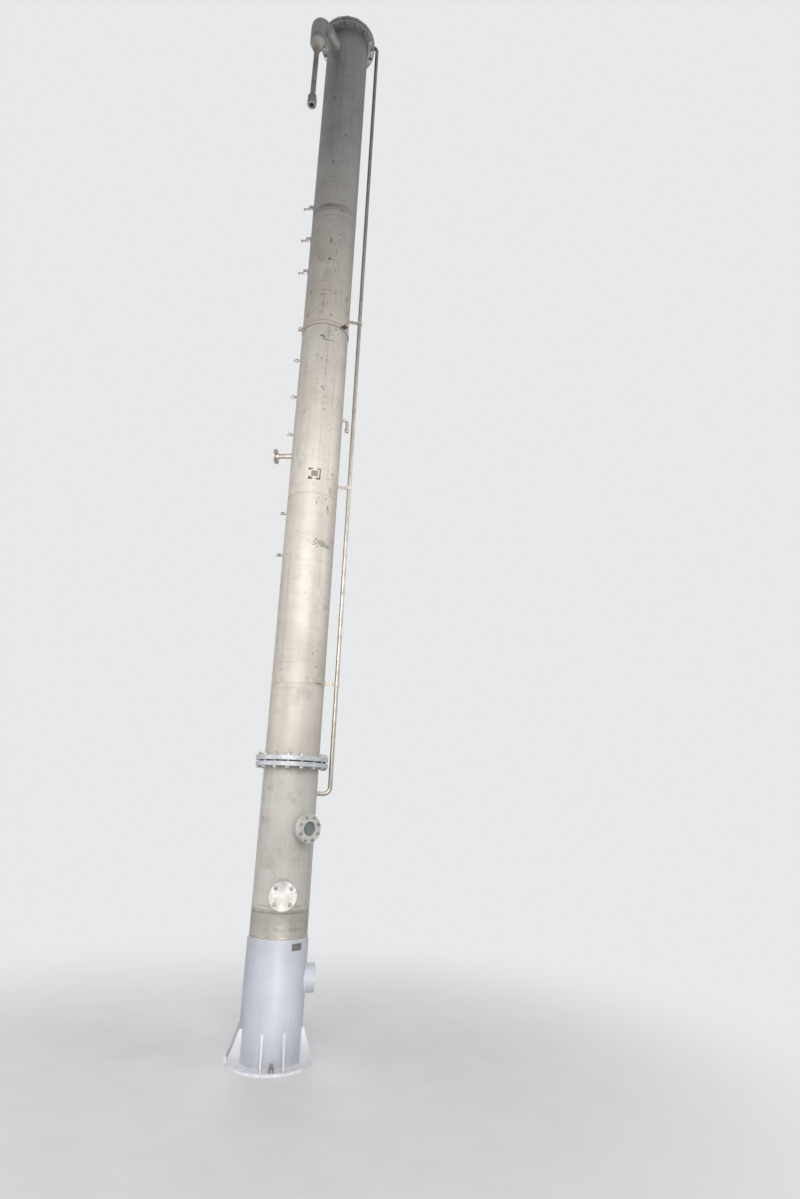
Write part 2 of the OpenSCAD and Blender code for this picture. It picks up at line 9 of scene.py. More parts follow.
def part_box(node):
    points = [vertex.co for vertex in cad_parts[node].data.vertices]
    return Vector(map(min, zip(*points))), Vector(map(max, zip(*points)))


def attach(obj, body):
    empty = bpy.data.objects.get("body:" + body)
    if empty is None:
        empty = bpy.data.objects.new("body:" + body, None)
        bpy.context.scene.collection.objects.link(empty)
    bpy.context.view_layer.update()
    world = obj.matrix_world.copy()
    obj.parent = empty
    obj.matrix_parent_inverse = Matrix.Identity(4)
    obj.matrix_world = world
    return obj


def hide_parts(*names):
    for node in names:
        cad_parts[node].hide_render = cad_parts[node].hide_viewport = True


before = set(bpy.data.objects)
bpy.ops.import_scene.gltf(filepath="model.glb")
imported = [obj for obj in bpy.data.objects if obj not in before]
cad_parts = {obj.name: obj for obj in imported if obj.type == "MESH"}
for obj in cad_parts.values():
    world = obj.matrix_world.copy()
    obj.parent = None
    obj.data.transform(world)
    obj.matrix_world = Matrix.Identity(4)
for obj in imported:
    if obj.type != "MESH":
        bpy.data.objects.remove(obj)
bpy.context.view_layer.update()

BODY = "root"
UP = Vector((0, 0, 1))
SHELL_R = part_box("shell_course_3")[1].x
SKIRT_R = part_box("skirt")[1].y


def top(node):
    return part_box(node)[1].z


def foot(node):
    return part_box(node)[0].z


def middle(node):
    """Height halfway up a node."""
    return (foot(node) + top(node)) / 2


def out(phi, r, z, side=0.0):
    """Point at an angle from the front towards the right, a radius and a height."""
    a = math.radians(phi)
    return Vector((r * math.sin(a) + side * math.cos(a), side * math.sin(a) - r * math.cos(a), z))


def arc_at(phi):
    """Way round the shell from its front to an angle."""
    return math.radians(phi) * SHELL_R


# Materials

MATERIALS = {}
# Heights between which painted shade takes the steel from its light tone low down to its darker tone at
# the head
SHADE_FROM, SHADE_TO = 3.9, 8.6


class Graph:
    """A node material in the row frame: x, y and z are metres, arc runs round the column."""

    def __init__(self, name):
        self.mat = MATERIALS[name] = bpy.data.materials.new(name)
        self.mat.use_nodes = True
        self.tree = self.mat.node_tree
        self.tree.nodes.clear()
        self.end = self.tree.nodes.new("ShaderNodeOutputMaterial")
        self.shader = self.tree.nodes.new("ShaderNodeBsdfPrincipled")
        self.tree.links.new(self.shader.outputs[0], self.end.inputs[0])
        self.place = self.tree.nodes.new("ShaderNodeTexCoord").outputs["Object"]
        split = self.node("ShaderNodeSeparateXYZ", Vector=self.place)
        self.x, self.y, self.z = split.outputs
        self.phi = self.math("ARCTAN2", self.x, self.times(self.y, -1.0))
        self.arc = self.times(self.phi, SHELL_R)

    def node(self, kind, **inputs):
        made = self.tree.nodes.new(kind)
        for key, value in inputs.items():
            self.feed(made.inputs[key], value)
        return made

    def feed(self, socket, value):
        if isinstance(value, bpy.types.NodeSocket):
            self.tree.links.new(value, socket)
        else:
            socket.default_value = value

    def operate(self, kind, operation, *values):
        made = self.tree.nodes.new(kind)
        made.operation = operation
        for socket, value in zip(made.inputs, values):
            self.feed(socket, value)
        return made

    def math(self, operation, *values, clamp=False):
        made = self.operate("ShaderNodeMath", operation, *values)
        made.use_clamp = clamp
        return made.outputs[0]

    def times(self, first, *others, clamp=False):
        for other in others:
            first = self.math("MULTIPLY", first, other, clamp=clamp)
        return first

    def plus(self, a, b, clamp=False):
        return self.math("ADD", a, b, clamp=clamp)

    def line(self, value, gain, start):
        """The value times a gain, plus a start."""
        return self.plus(self.times(value, gain), start)

    def apart(self, value, centre):
        """How far a value lies from a centre, to either side."""
        return self.math("ABSOLUTE", self.math("SUBTRACT", value, centre))

    def vector(self, x, y, z):
        return self.node("ShaderNodeCombineXYZ", X=x, Y=y, Z=z).outputs[0]

    def length(self, vector):
        return self.operate("ShaderNodeVectorMath", "LENGTH", vector).outputs["Value"]

    def spread(self, place, scale, shift):
        """A place, scaled and then shifted."""
        made = self.operate("ShaderNodeVectorMath", "MULTIPLY_ADD", place, scale, shift)
        return made.outputs["Vector"]

    def stretched(self, across, along, seed=0.0):
        """Coordinates unrolled round the column, scaled across and along it."""
        return self.vector(self.times(self.arc, across), seed, self.times(self.z, along))

    def noise(self, scale, detail=4.0, rough=0.55, place=None):
        return self.node("ShaderNodeTexNoise", Vector=place or self.place, Scale=scale,
                         Detail=detail, Roughness=rough).outputs["Fac"]

    def cells(self, scale, place=None):
        return self.node("ShaderNodeTexVoronoi", Vector=place or self.place,
                         Scale=scale).outputs["Distance"]

    def step(self, value, low, high, smooth=True):
        """0 where value is at low, 1 where it is at high, smooth between them."""
        made = self.tree.nodes.new("ShaderNodeMapRange")
        made.interpolation_type = "SMOOTHSTEP" if smooth else "LINEAR"
        for key, v in zip(("Value", "From Min", "From Max"), (value, low, high)):
            self.feed(made.inputs[key], v)
        return made.outputs["Result"]

    def rise(self):
        """0 low down on the column, 1 at its head: the mask of the painted shade at the head."""
        return self.step(self.z, SHADE_FROM, SHADE_TO)

    def mix(self, factor, a, b):
        made = self.tree.nodes.new("ShaderNodeMix")
        made.data_type = "RGBA"
        for key, value in ((0, factor), (6, a), (7, b)):
            if isinstance(value, tuple):
                value = (*value, 1.0)
            self.feed(made.inputs[key], value)
        return made.outputs[2]

    def shade(self, colour, level, *factors):
        """The colour, darkened to a level where the product of the factors is 1."""
        keep = self.step(self.times(*factors), 1.0, 0.0, smooth=False)
        keep = self.line(keep, 1.0 - level, level)
        scaled = self.operate("ShaderNodeVectorMath", "SCALE", colour)
        self.feed(scaled.inputs["Scale"], keep)
        return scaled.outputs["Vector"]

    def patch(self, phi, height, wide, high, soft):
        """1 in a field on the shell, fading over soft at its edges."""
        across = self.apart(self.arc, arc_at(phi))
        along = self.apart(self.z, height)
        return self.times(self.step(across, wide / 2 + soft, wide / 2 - soft),
                          self.step(along, high / 2 + soft, high / 2 - soft))

    def ragged(self, size):
        """Unrolled place on the shell, pushed about by noise so that marks get torn edges."""
        wave = self.node("ShaderNodeTexNoise", Vector=self.place, Scale=46.0, Detail=3.0,
                         Roughness=0.6)
        flat = self.vector(self.math("SUBTRACT", self.arc, size / 2),
                           self.math("SUBTRACT", self.z, size / 2), 0.0)
        return self.spread(wave.outputs["Color"], (size, size, 0.0), flat)

    def spot(self, place, phi, height, wide, high, depth):
        """Depth inside an ellipse on the shell, 0 outside it."""
        near = self.spread(place, (2 / wide, 2 / high, 0.0),
                           (-2 * arc_at(phi) / wide, -2 * height / high, 0.0))
        return self.times(self.step(self.length(near), 1.35, 0.55), depth)

    def ring(self, height, half, soft):
        """1 within half of a height, fading over soft."""
        return self.step(self.apart(self.z, height), half + soft, half)

    def bump(self, height, distance, strength=1.0, before=None):
        made = self.node("ShaderNodeBump", Height=height, Distance=distance, Strength=strength)
        if before is not None:
            self.feed(made.inputs["Normal"], before)
        return made.outputs[0]

    def finish(self, colour, rough, metal, normal, **constants):
        surface = {"Base Color": colour, "Roughness": rough, "Metallic": metal, "Normal": normal}
        for key, value in surface.items():
            self.feed(self.shader.inputs[key], value)
        for key, value in constants.items():
            self.shader.inputs[key.replace("_", " ")].default_value = value


# Light tone low down and at the head, then dark tone low down and at the head. The tones at the head are
# painted shade, darker and greyer than those low down
SHELL_TONES = ((0.66, 0.62, 0.565), (0.31, 0.306, 0.306), (0.52, 0.475, 0.415),
               (0.22, 0.217, 0.217))
GRIME = (0.1, 0.078, 0.06)
HATCHED = (0.125, 0.098, 0.078)
# Brown that spreads from the falling pipe's axis on the reducer
LEG_BROWN = (0.175, 0.12, 0.082)
DUST = (0.36, 0.33, 0.29)
# Angle over which a tint that stops at one side fades out, in degrees
TINT_FADE = 35


def shell_steel(name, seed, tint=(), smears=(), runs=(), spots=(), hatches=(), level=1.0,
                metal=0.36, warm=(1.0, 1.0, 1.0)):
    """Pickled stainless plate, cream low down, and darkened towards the head by painted shade.
    A tint is height, half height, soft edge, depth, colour and the angle where it stops, if any.
    A smear is angle, height, width, height of the mark, soft edge and depth.
    A run is angle, half width, lowest and highest height and depth.
    A spot is angle, height, width, height of the mark and depth.
    A hatch is angle, height, width, height of the mark, pitch and depth."""
    g = Graph(name)
    tones = [tuple(c * level * w for c, w in zip(colour, warm)) for colour in SHELL_TONES]
    place = g.operate("ShaderNodeVectorMath", "ADD", g.place, (seed, seed * 0.7, 0.0))
    place = place.outputs["Vector"]
    # Painted shade: both tones darken towards the head
    rise = g.rise()
    light = g.mix(rise, tones[0], tones[1])
    dark = g.mix(rise, tones[2], tones[3])
    cloud = g.step(g.noise(2.6, 5.0, 0.6, place), 0.3, 0.7)
    streaks = g.step(g.noise(1.0, 4.0, 0.6, g.stretched(34.0, 1.1, seed)), 0.35, 0.75)
    rings = g.noise(1.0, 3.0, 0.6, g.stretched(2.2, 46.0, seed))
    fine = g.noise(1.0, 3.0, 0.65, g.stretched(210.0, 120.0, seed))
    worn = g.plus(g.times(cloud, 0.55), g.times(streaks, 0.25))
    worn = g.plus(worn, g.times(g.step(rings, 0.4, 0.7), 0.18), clamp=True)
    colour = g.mix(worn, light, dark)
    # Stains, blots, wipe marks, specks and grain
    colour = g.shade(colour, 0.55, g.step(g.noise(7.5, 5.0, 0.66, place), 0.54, 0.7), 0.36)
    colour = g.shade(colour, 0.45,
                     g.step(g.noise(1.0, 4.0, 0.7, g.stretched(26.0, 30.0, seed + 4.0)), 0.6, 0.7),
                     g.step(g.noise(1.7, 2.0, 0.5, place), 0.44, 0.58), 0.62)
    colour = g.shade(colour, 0.55,
                     g.step(g.noise(1.0, 3.0, 0.65, g.stretched(5.0, 85.0, seed + 9.0)), 0.6, 0.72),
                     g.step(g.noise(3.3, 2.0, 0.5, place), 0.46, 0.6), 0.42)
    colour = g.shade(colour, 0.35, g.step(g.cells(58.0, place), 0.17, 0.09),
                     g.step(g.noise(4.5, 4.0, 0.6, place), 0.5, 0.66), 0.75)
    colour = g.shade(colour, 0.7, g.step(fine, 0.3, 0.75), 0.22)
    for phi, width, low, high, depth in runs:
        colour = g.shade(colour, 0.55, g.step(g.apart(g.arc, arc_at(phi)), width, width * 0.2),
                         g.step(g.z, low, low + 0.15), g.step(g.z, high, high - 0.08),
                         g.step(g.noise(6.0, 3.0, 0.6), 0.3, 0.6), depth)
    for height, half, soft, depth, shade, turn in tint:
        band = g.times(g.ring(height, half, soft), depth)
        band = g.times(band, g.plus(g.step(g.noise(5.0, 3.0), 0.3, 0.62), 0.35), clamp=True)
        if turn is not None:
            band = g.times(band, g.step(g.phi, math.radians(turn + TINT_FADE), math.radians(turn)))
        colour = g.mix(band, colour, shade)
    for phi, height, wide, high, pitch, depth in hatches:
        grid = g.times(*(g.math("SINE", g.times(way, math.tau / pitch)) for way in (g.arc, g.z)))
        field = g.times(g.patch(phi, height, wide, high, 0.004), depth, g.line(grid, 0.5, 0.75))
        colour = g.mix(g.math("MINIMUM", field, 0.9), colour, HATCHED)
    for phi, height, wide, high, soft, depth in smears:
        colour = g.shade(colour, 0.25, g.patch(phi, height, wide, high, soft),
                         g.step(g.noise(48.0, 4.0, 0.7), 0.38, 0.62), depth)
    if spots:
        place = g.ragged(0.016)
        grime = 0.0
        for spot in spots:
            grime = g.math("MAXIMUM", g.spot(place, *spot), grime)
        grime = g.times(grime, g.plus(g.step(g.noise(70.0, 3.0, 0.7), 0.3, 0.58), 0.5), clamp=True)
        colour = g.mix(grime, colour, GRIME)
    rough = g.plus(g.line(cloud, 0.08, 0.47), g.times(fine, 0.1))
    normal = g.bump(g.noise(3.0, 2.0, 0.5, place), 0.003, 0.3)
    normal = g.bump(rings, 0.0005, 0.18, normal)
    normal = g.bump(fine, 0.0003, 0.3, normal)
    g.finish(colour, rough, metal, normal, Specular_IOR_Level=0.3,
             Specular_Tint=(0.72, 0.7, 0.67, 1.0))


def pipe_steel(name, light, dark, metal=0.75, rough=0.36, head_shade=0.45, brown_at=None):
    """Pickled or turned stainless: fine marks, matt patches, and painted shade that darkens it towards
    the head.
    Brown spreads out from an upright axis, where one is given."""
    g = Graph(name)
    cloud = g.step(g.noise(14.0, 4.0, 0.6), 0.35, 0.7)
    marks = g.noise(1.0, 3.0, 0.6, g.stretched(240.0, 60.0))
    grime = g.step(g.noise(30.0, 5.0, 0.65), 0.54, 0.72)
    colour = g.mix(g.times(cloud, 0.7), light, dark)
    colour = g.shade(colour, 0.45, grime, 0.45)
    colour = g.shade(colour, 0.7, g.step(marks, 0.45, 0.75), 0.2)
    # Painted shade, darker towards the head
    colour = g.shade(colour, head_shade, g.rise())
    # Brown round an upright axis, fading out within a few centimetres
    if brown_at is not None:
        reach = g.length(g.vector(g.math("SUBTRACT", g.x, brown_at.x),
                                  g.math("SUBTRACT", g.y, brown_at.y), 0.0))
        colour = g.mix(g.times(g.step(reach, 0.052, 0.028), 0.75), colour, LEG_BROWN)
    normal = g.bump(marks, 0.0003, 0.35)
    normal = g.bump(g.noise(260.0, 2.0, 0.6), 0.0002, 0.3, normal)
    g.finish(colour, g.line(cloud, 0.14, rough), metal, normal)


def painted(name, light, dark, chips):
    """Brushed-on paint with dust near the floor and a few chips."""
    g = Graph(name)
    cloud = g.step(g.noise(5.0, 4.0, 0.6), 0.32, 0.7)
    dust = g.times(g.step(g.z, 0.16, 0.0), g.step(g.noise(18.0, 4.0, 0.65), 0.35, 0.62))
    colour = g.mix(g.times(cloud, 0.6), light, dark)
    colour = g.mix(g.times(dust, 0.22), colour, DUST)
    runs = g.step(g.noise(1.0, 4.0, 0.6, g.stretched(30.0, 2.2)), 0.55, 0.75)
    colour = g.mix(g.times(runs, 0.2), colour, tuple(c * 0.72 for c in dark))
    chip = g.times(g.step(g.cells(38.0), 0.15, 0.11), g.step(g.noise(4.0, 3.0), 0.58, 0.66))
    colour = g.mix(g.times(chip, 0.8), colour, chips)
    normal = g.bump(g.noise(60.0, 3.0, 0.5), 0.0006, 0.25)
    normal = g.bump(g.noise(4.0, 2.0), 0.003, 0.25, normal)
    g.finish(colour, g.line(cloud, 0.12, 0.38), 0.0, normal, Coat_Weight=0.12, Coat_Roughness=0.3)


def rusty(name):
    g = Graph(name)
    patch = g.step(g.noise(42.0, 5.0, 0.7), 0.36, 0.64)
    scale = g.noise(190.0, 4.0, 0.7)
    colour = g.mix(patch, (0.085, 0.043, 0.028), (0.165, 0.083, 0.05))
    colour = g.mix(g.step(scale, 0.55, 0.75), colour, (0.06, 0.035, 0.026))
    g.finish(colour, g.line(scale, 0.2, 0.68), 0.1, g.bump(scale, 0.0012, 0.8))


def weld_metal(name, tone):
    """Ripples of a hand-laid bead, darkened towards the head by painted shade as the plate is."""
    g = Graph(name)
    ripple = g.noise(260.0, 2.0, 0.5)
    cloud = g.step(g.noise(20.0, 4.0, 0.6), 0.35, 0.65)
    # Painted shade: the bead's tone darkens towards the head
    light = g.mix(g.rise(), (0.62, 0.57, 0.5), (0.27, 0.265, 0.26))
    colour = g.shade(light, 0.7 * tone, cloud, 0.8)
    colour = g.shade(colour, 0.5, g.step(ripple, 0.5, 0.7), 0.35)
    g.finish(colour, g.line(ripple, 0.2, 0.38), 0.6, g.bump(ripple, 0.0012, 0.7))


def scorched_plus_shade(name):
    """Burnt residue of an old tack weld: brown, matt and crusty. It also colours the dark beads of
    painted shade along the clamp band's edges.
    """
    g = Graph(name)
    crust = g.noise(150.0, 4.0, 0.7)
    patch = g.step(g.noise(38.0, 4.0, 0.6), 0.38, 0.62)
    colour = g.mix(patch, (0.125, 0.09, 0.062), (0.29, 0.215, 0.15))
    colour = g.shade(colour, 0.5, g.step(crust, 0.5, 0.7), 0.5)
    g.finish(colour, g.line(crust, 0.2, 0.6), 0.15, g.bump(crust, 0.001, 0.8))


def gasket_sheet(name):
    g = Graph(name)
    weave = g.noise(380.0, 3.0, 0.6)
    colour = g.mix(g.step(weave, 0.4, 0.65), (0.03, 0.03, 0.032), (0.075, 0.072, 0.068))
    g.finish(colour, g.line(weave, 0.2, 0.62), 0.0, g.bump(weave, 0.0004, 0.6))


def glass_pane(name):
    g = Graph(name)
    film = g.step(g.noise(22.0, 4.0, 0.6), 0.42, 0.7)
    colour = g.mix(g.times(film, 0.5), (0.7, 0.82, 0.8), (0.42, 0.46, 0.43))
    g.finish(colour, g.line(film, 0.25, 0.04), 0.0, g.bump(g.noise(9.0, 2.0), 0.002, 0.2),
             IOR=1.47, Transmission_Weight=0.78, Alpha=0.92)


# Axis of the pipe that falls from the vapour outlet
pipe_low, pipe_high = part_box("overhead_pipe")
LEG = Vector(((pipe_low.x + pipe_high.x) / 2, (pipe_low.y + pipe_high.y) / 2, 0))

# Heights of the ring seams, and of the clamp band's edges
MAKE_UP_TOP = top("make_up_course")
SEAM_1, SEAM_2, SEAM_4 = top("shell_course_1"), top("shell_course_2"), top("shell_course_4")
BAND_LOW, BAND_HIGH = foot("brace_band"), top("brace_band")

# Tints that heat has left beside the seams, and painted shade along the clamp band's edges
BURNT = (0.155, 0.14, 0.13)
STRAW = (0.42, 0.345, 0.255)
FIRST = [(SEAM_1, 0.004, 0.01, 0.35, STRAW, None)]
SECOND = [(SEAM_2, 0.003, 0.008, 0.3, STRAW, None)]
FAINT = [(SEAM_4 - 0.105, 0.002, 0.008, 0.22, BURNT, 30),
         (SEAM_4 - 0.145, 0.002, 0.008, 0.18, BURNT, 10)]
UPPER = [(SEAM_4 + 0.002, 0.009, 0.012, 0.85, BURNT, 3), (SEAM_4 - 0.04, 0.003, 0.007, 0.4, BURNT, 10),
         (SEAM_4, 0.024, 0.018, 0.25, BURNT, 30)]
# Painted shade: dark rings just under and just over the clamp band
UNDER_BAND = [(BAND_LOW - 0.004, 0.002, 0.005, 0.28, BURNT, None)]
OVER_BAND = [(BAND_HIGH + 0.01, 0.002, 0.005, 0.38, BURNT, None)]
WARM = (1.01, 0.99, 0.965)

shell_steel("steel_make_up", 41.0, level=0.78, metal=0.5, warm=(0.98, 0.995, 1.02),
            tint=[(MAKE_UP_TOP - 0.02, 0.004, 0.01, 0.35, BURNT, None)],
            smears=[(-20, 0.9, 0.6, 0.02, 0.03, 0.3), (12, 0.845, 0.5, 0.012, 0.02, 0.35)])
shell_steel("steel_sump", 0.0, level=1.05, warm=(0.972, 1.0, 1.042),
            tint=[(MAKE_UP_TOP + 0.02, 0.004, 0.008, 0.25, STRAW, None)])
shell_steel("steel_course_1", 3.1, tint=FIRST)
shell_steel(
    "steel_course_2", 7.3, tint=FIRST + SECOND,
    smears=[
        (44, SEAM_1 + 0.012, 0.11, 0.01, 0.008, 0.8), (12, SEAM_1 + 0.006, 0.15, 0.006, 0.006, 0.4),
        (-2, 4.036, 0.045, 0.004, 0.004, 0.3), (-30, 3.6, 0.16, 0.004, 0.005, 0.25)],
    spots=[
        (24, 3.664, 0.1, 0.05, 0.3), (34, 3.65, 0.12, 0.04, 0.36), (30, 3.642, 0.08, 0.022, 0.4),
        (9.8, 3.69, 0.016, 0.012, 0.9), (5.6, 3.667, 0.012, 0.012, 0.9),
        (10.0, 3.646, 0.014, 0.012, 0.9), (4.6, 3.64, 0.01, 0.01, 0.7),
        (13.5, 3.625, 0.014, 0.008, 0.7), (8.4, 4.042, 0.016, 0.01, 0.5),
        (4.5, 4.005, 0.007, 0.06, 0.5), (33, 3.977, 0.014, 0.045, 0.6), (26, 4.045, 0.03, 0.02, 0.3),
        (34, 3.945, 0.03, 0.05, 0.3), (22, 2.773, 0.012, 0.012, 0.6), (33, 2.676, 0.014, 0.014, 0.6),
        (48, 3.364, 0.014, 0.012, 0.5), (12.4, 3.25, 0.012, 0.01, 0.4), (19, 2.873, 0.01, 0.01, 0.4)],
    runs=[(24, 0.02, 2.9, 3.64, 0.3), (-48, 0.016, 2.6, 3.6, 0.25)])
shell_steel(
    "steel_course_3", 11.9, level=1.05, tint=SECOND + UNDER_BAND,
    hatches=[(-4.7, 4.249, 0.058, 0.05, 0.019, 1.05)],
    smears=[
        (3, 5.605, 0.07, 0.05, 0.03, 0.3), (44, 4.2, 0.1, 0.2, 0.05, 0.25),
        (-6, 5.07, 0.12, 0.004, 0.004, 0.25)],
    spots=[
        (-13.5, 5.543, 0.03, 0.018, 0.95), (-8.5, 5.532, 0.022, 0.012, 0.85),
        (-9, 5.514, 0.03, 0.01, 0.68), (-2, 5.506, 0.036, 0.009, 0.71), (6, 5.503, 0.034, 0.008, 0.68),
        (13, 5.506, 0.024, 0.008, 0.52), (1.4, 5.541, 0.01, 0.01, 0.68), (11.7, 5.56, 0.01, 0.01, 0.68),
        (21.4, 5.632, 0.014, 0.014, 0.6), (21.1, 5.507, 0.008, 0.01, 0.45),
        (27, 5.587, 0.018, 0.012, 0.38), (3.1, 5.6, 0.022, 0.014, 0.3), (-1.2, 5.436, 0.012, 0.01, 0.3),
        (-10, 5.314, 0.009, 0.024, 0.68), (4.1, 5.307, 0.013, 0.012, 0.45),
        (1.9, 5.226, 0.009, 0.012, 0.45), (2.7, 5.185, 0.009, 0.022, 0.45),
        (-3.8, 5.044, 0.026, 0.012, 0.72), (1.2, 5.025, 0.018, 0.01, 0.6),
        (-25, 4.99, 0.009, 0.02, 0.38), (4.3, 4.957, 0.04, 0.03, 0.17), (3.6, 4.899, 0.04, 0.03, 0.15),
        (6.7, 4.839, 0.04, 0.03, 0.15), (-43, 4.819, 0.03, 0.04, 0.2), (41, 4.282, 0.034, 0.022, 0.35),
        (37, 4.125, 0.03, 0.06, 0.3), (2.1, 4.545, 0.009, 0.06, 0.3)],
    runs=[
        (-13.5, 0.008, 4.31, 4.5, 0.9), (-5, 0.01, 4.08, 4.25, 0.3), (26, 0.018, 4.1, 5.2, 0.25),
        (2.5, 0.01, 5.05, 5.68, 0.45), (-52, 0.02, 4.3, 5.5, 0.25)])
shell_steel(
    "steel_course_4", 17.2, level=1.02, warm=WARM, tint=UPPER + FAINT + OVER_BAND,
    smears=[
        (-9, 6.104, 0.13, 0.004, 0.004, 0.5), (2, 6.076, 0.055, 0.003, 0.004, 0.45),
        (2.5, 6.044, 0.055, 0.003, 0.004, 0.4), (-7.4, 6.11, 0.003, 0.15, 0.004, 0.4),
        (10, 6.08, 0.003, 0.06, 0.004, 0.35), (-35, 6.645, 0.15, 0.004, 0.006, 0.3),
        (-26, 6.4, 0.1, 0.12, 0.05, 0.22), (-17, 5.86, 0.08, 0.04, 0.02, 0.3),
        (-2, 6.5, 0.04, 0.006, 0.006, 0.45)],
    spots=[
        (10.9, 6.88, 0.036, 0.016, 0.5), (37.8, 6.903, 0.034, 0.02, 0.39),
        (11.9, 6.615, 0.032, 0.012, 0.33), (22.3, 6.61, 0.013, 0.013, 0.33),
        (-9, 6.53, 0.018, 0.06, 0.62), (5.4, 6.444, 0.013, 0.022, 0.33),
        (6.1, 6.405, 0.013, 0.022, 0.33), (-9.1, 6.335, 0.028, 0.03, 0.62),
        (0.1, 6.329, 0.024, 0.014, 0.45), (-13.9, 6.295, 0.022, 0.012, 0.33),
        (-29, 6.327, 0.05, 0.05, 0.14), (11.6, 6.319, 0.03, 0.012, 0.23),
        (7.6, 6.225, 0.012, 0.036, 0.39), (-55, 6.018, 0.03, 0.05, 0.31),
        (-17.9, 6.006, 0.045, 0.018, 0.28), (-18.9, 5.962, 0.05, 0.02, 0.28),
        (-2.5, 6.003, 0.03, 0.014, 0.25), (9.4, 5.99, 0.016, 0.05, 0.25),
        (-6.7, 5.872, 0.02, 0.012, 0.33), (-21, 5.78, 0.02, 0.014, 0.33),
        (5, 5.759, 0.024, 0.028, 0.45), (49, 5.998, 0.04, 0.06, 0.28), (54, 5.857, 0.03, 0.05, 0.23),
        (-61, 5.789, 0.06, 0.06, 0.23)],
    runs=[(14, 0.02, 5.8, 6.6, 0.25), (-16, 0.012, 5.72, 6.0, 0.3)])
shell_steel(
    "steel_course_5", 23.6, warm=(1.0, 0.995, 0.985), tint=UPPER,
    runs=[(-12, 0.02, 7.3, 8.9, 0.3), (20, 0.025, 7.6, 9.0, 0.25)],
    spots=[(14.7, 7.005, 0.014, 0.014, 0.7), (-20, 7.42, 0.03, 0.05, 0.4), (8, 7.75, 0.02, 0.04, 0.5),
           (-32, 8.2, 0.04, 0.05, 0.35)])
shell_steel("steel_head", 29.0)
shell_steel("steel_band", 51.0, warm=WARM)

# Light and dark tone, metal, roughness, and the level to which painted shade darkens the tone at the
# head
for name, *look in (
        ("pipe", (0.52, 0.475, 0.42), (0.35, 0.315, 0.27)),
        # The elbow's darker tone is painted shade for the head
        ("elbow", (0.46, 0.45, 0.44), (0.3, 0.295, 0.29), 0.5, 0.44, 0.58),
        ("reducer", (0.49, 0.465, 0.43), (0.37, 0.345, 0.31), 0.45, 0.42, 0.85, LEG),
        ("overhead", (0.34, 0.325, 0.325), (0.22, 0.21, 0.212), 0.5, 0.42, 0.6),
        # The head flanges are a darker copy of the body flanges: painted shade for the head
        ("head_flange", (0.47, 0.475, 0.48), (0.33, 0.33, 0.335), 0.5, 0.44, 0.62),
        ("bracket", (0.7, 0.63, 0.59), (0.5, 0.44, 0.4), 0.35, 0.42, 0.3),
        ("flange", (0.6, 0.625, 0.655), (0.45, 0.47, 0.5), 0.55, 0.38, 0.34),
        ("fitting", (0.42, 0.41, 0.39), (0.25, 0.24, 0.22), 0.8, 0.3, 0.75),
        ("valve", (0.58, 0.565, 0.54), (0.36, 0.345, 0.32), 0.8, 0.3, 0.6),
        ("dull_bolt", (0.44, 0.43, 0.41), (0.27, 0.26, 0.24), 0.75, 0.32, 0.55),
        ("bolt", (0.6, 0.59, 0.57), (0.4, 0.39, 0.37), 0.7, 0.3, 0.58),
        ("cover", (0.7, 0.685, 0.655), (0.52, 0.505, 0.475), 0.55, 0.42),
        ("plate_dark", (0.2, 0.185, 0.18), (0.115, 0.105, 0.105), 0.5, 0.45)):
    pipe_steel("steel_" + name, *look)

for name, tone in (("weld_steel", 0.85), ("weld_dull", 0.7), ("weld_burnt", 0.42)):
    weld_metal(name, tone)

painted("paint_skirt", (0.52, 0.54, 0.6), (0.44, 0.46, 0.522), (0.16, 0.14, 0.13))
# The base ring's paint is lighter than the rest: painted light, as for daylight falling on its top
painted("paint_ring_lit", (0.86, 0.875, 0.925), (0.78, 0.8, 0.855), (0.22, 0.2, 0.19))
painted("paint_base", (0.7, 0.712, 0.752), (0.612, 0.624, 0.668), (0.16, 0.14, 0.13))
rusty("steel_rusty")
scorched_plus_shade("steel_scorched_and_shade")
gasket_sheet("gasket_sheet")
glass_pane("glass_pane")

# The nodes that wear each material. All others wear the pipe's
DRESS = {
    "paint_ring_lit": "base_ring",
    "paint_base": "base_gussets",
    "paint_skirt": "skirt skirt_sleeve outlet_sleeve",
    "steel_make_up": "bottom_head make_up_course",
    "steel_sump": "sump_shell",
    **{f"steel_course_{n}": f"shell_course_{n}" for n in range(1, 6)},
    "steel_head": "top_head",
    "steel_flange": "lower_body_flange upper_body_flange",
    "steel_head_flange": "lower_head_flange upper_head_flange",
    "gasket_sheet": "body_gasket head_gasket hand_hole_gasket",
    "glass_pane": "sight_glass_disc",
    "steel_fitting": "thermowells",
    "steel_valve": "sample_valves",
    "steel_band": "brace_band",
    "steel_bracket": "side_tube_brackets",
    "steel_overhead": "overhead_pipe",
    "steel_rusty": "brace_lugs",
    "steel_elbow": "vapour_elbow",
    "steel_reducer": "vapour_reducer",
    "steel_cover": "sight_glass_pad sight_glass_cover hand_hole_neck hand_hole_cover",
}
WORN = {node: material for material, nodes in DRESS.items() for node in nodes.split()}
for name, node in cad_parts.items():
    material = MATERIALS[WORN.get(name, "steel_pipe")]
    if not node.material_slots:
        node.data.materials.append(material)
    for place in node.material_slots:
        place.material = material


# Mesh tools

# All beads, marks and anchor bolts draw from this one, in the order in which they are made
rng = random.Random(11)


def place_object(name, data):
    obj = bpy.data.objects.new(name, data)
    bpy.context.scene.collection.objects.link(obj)
    return obj


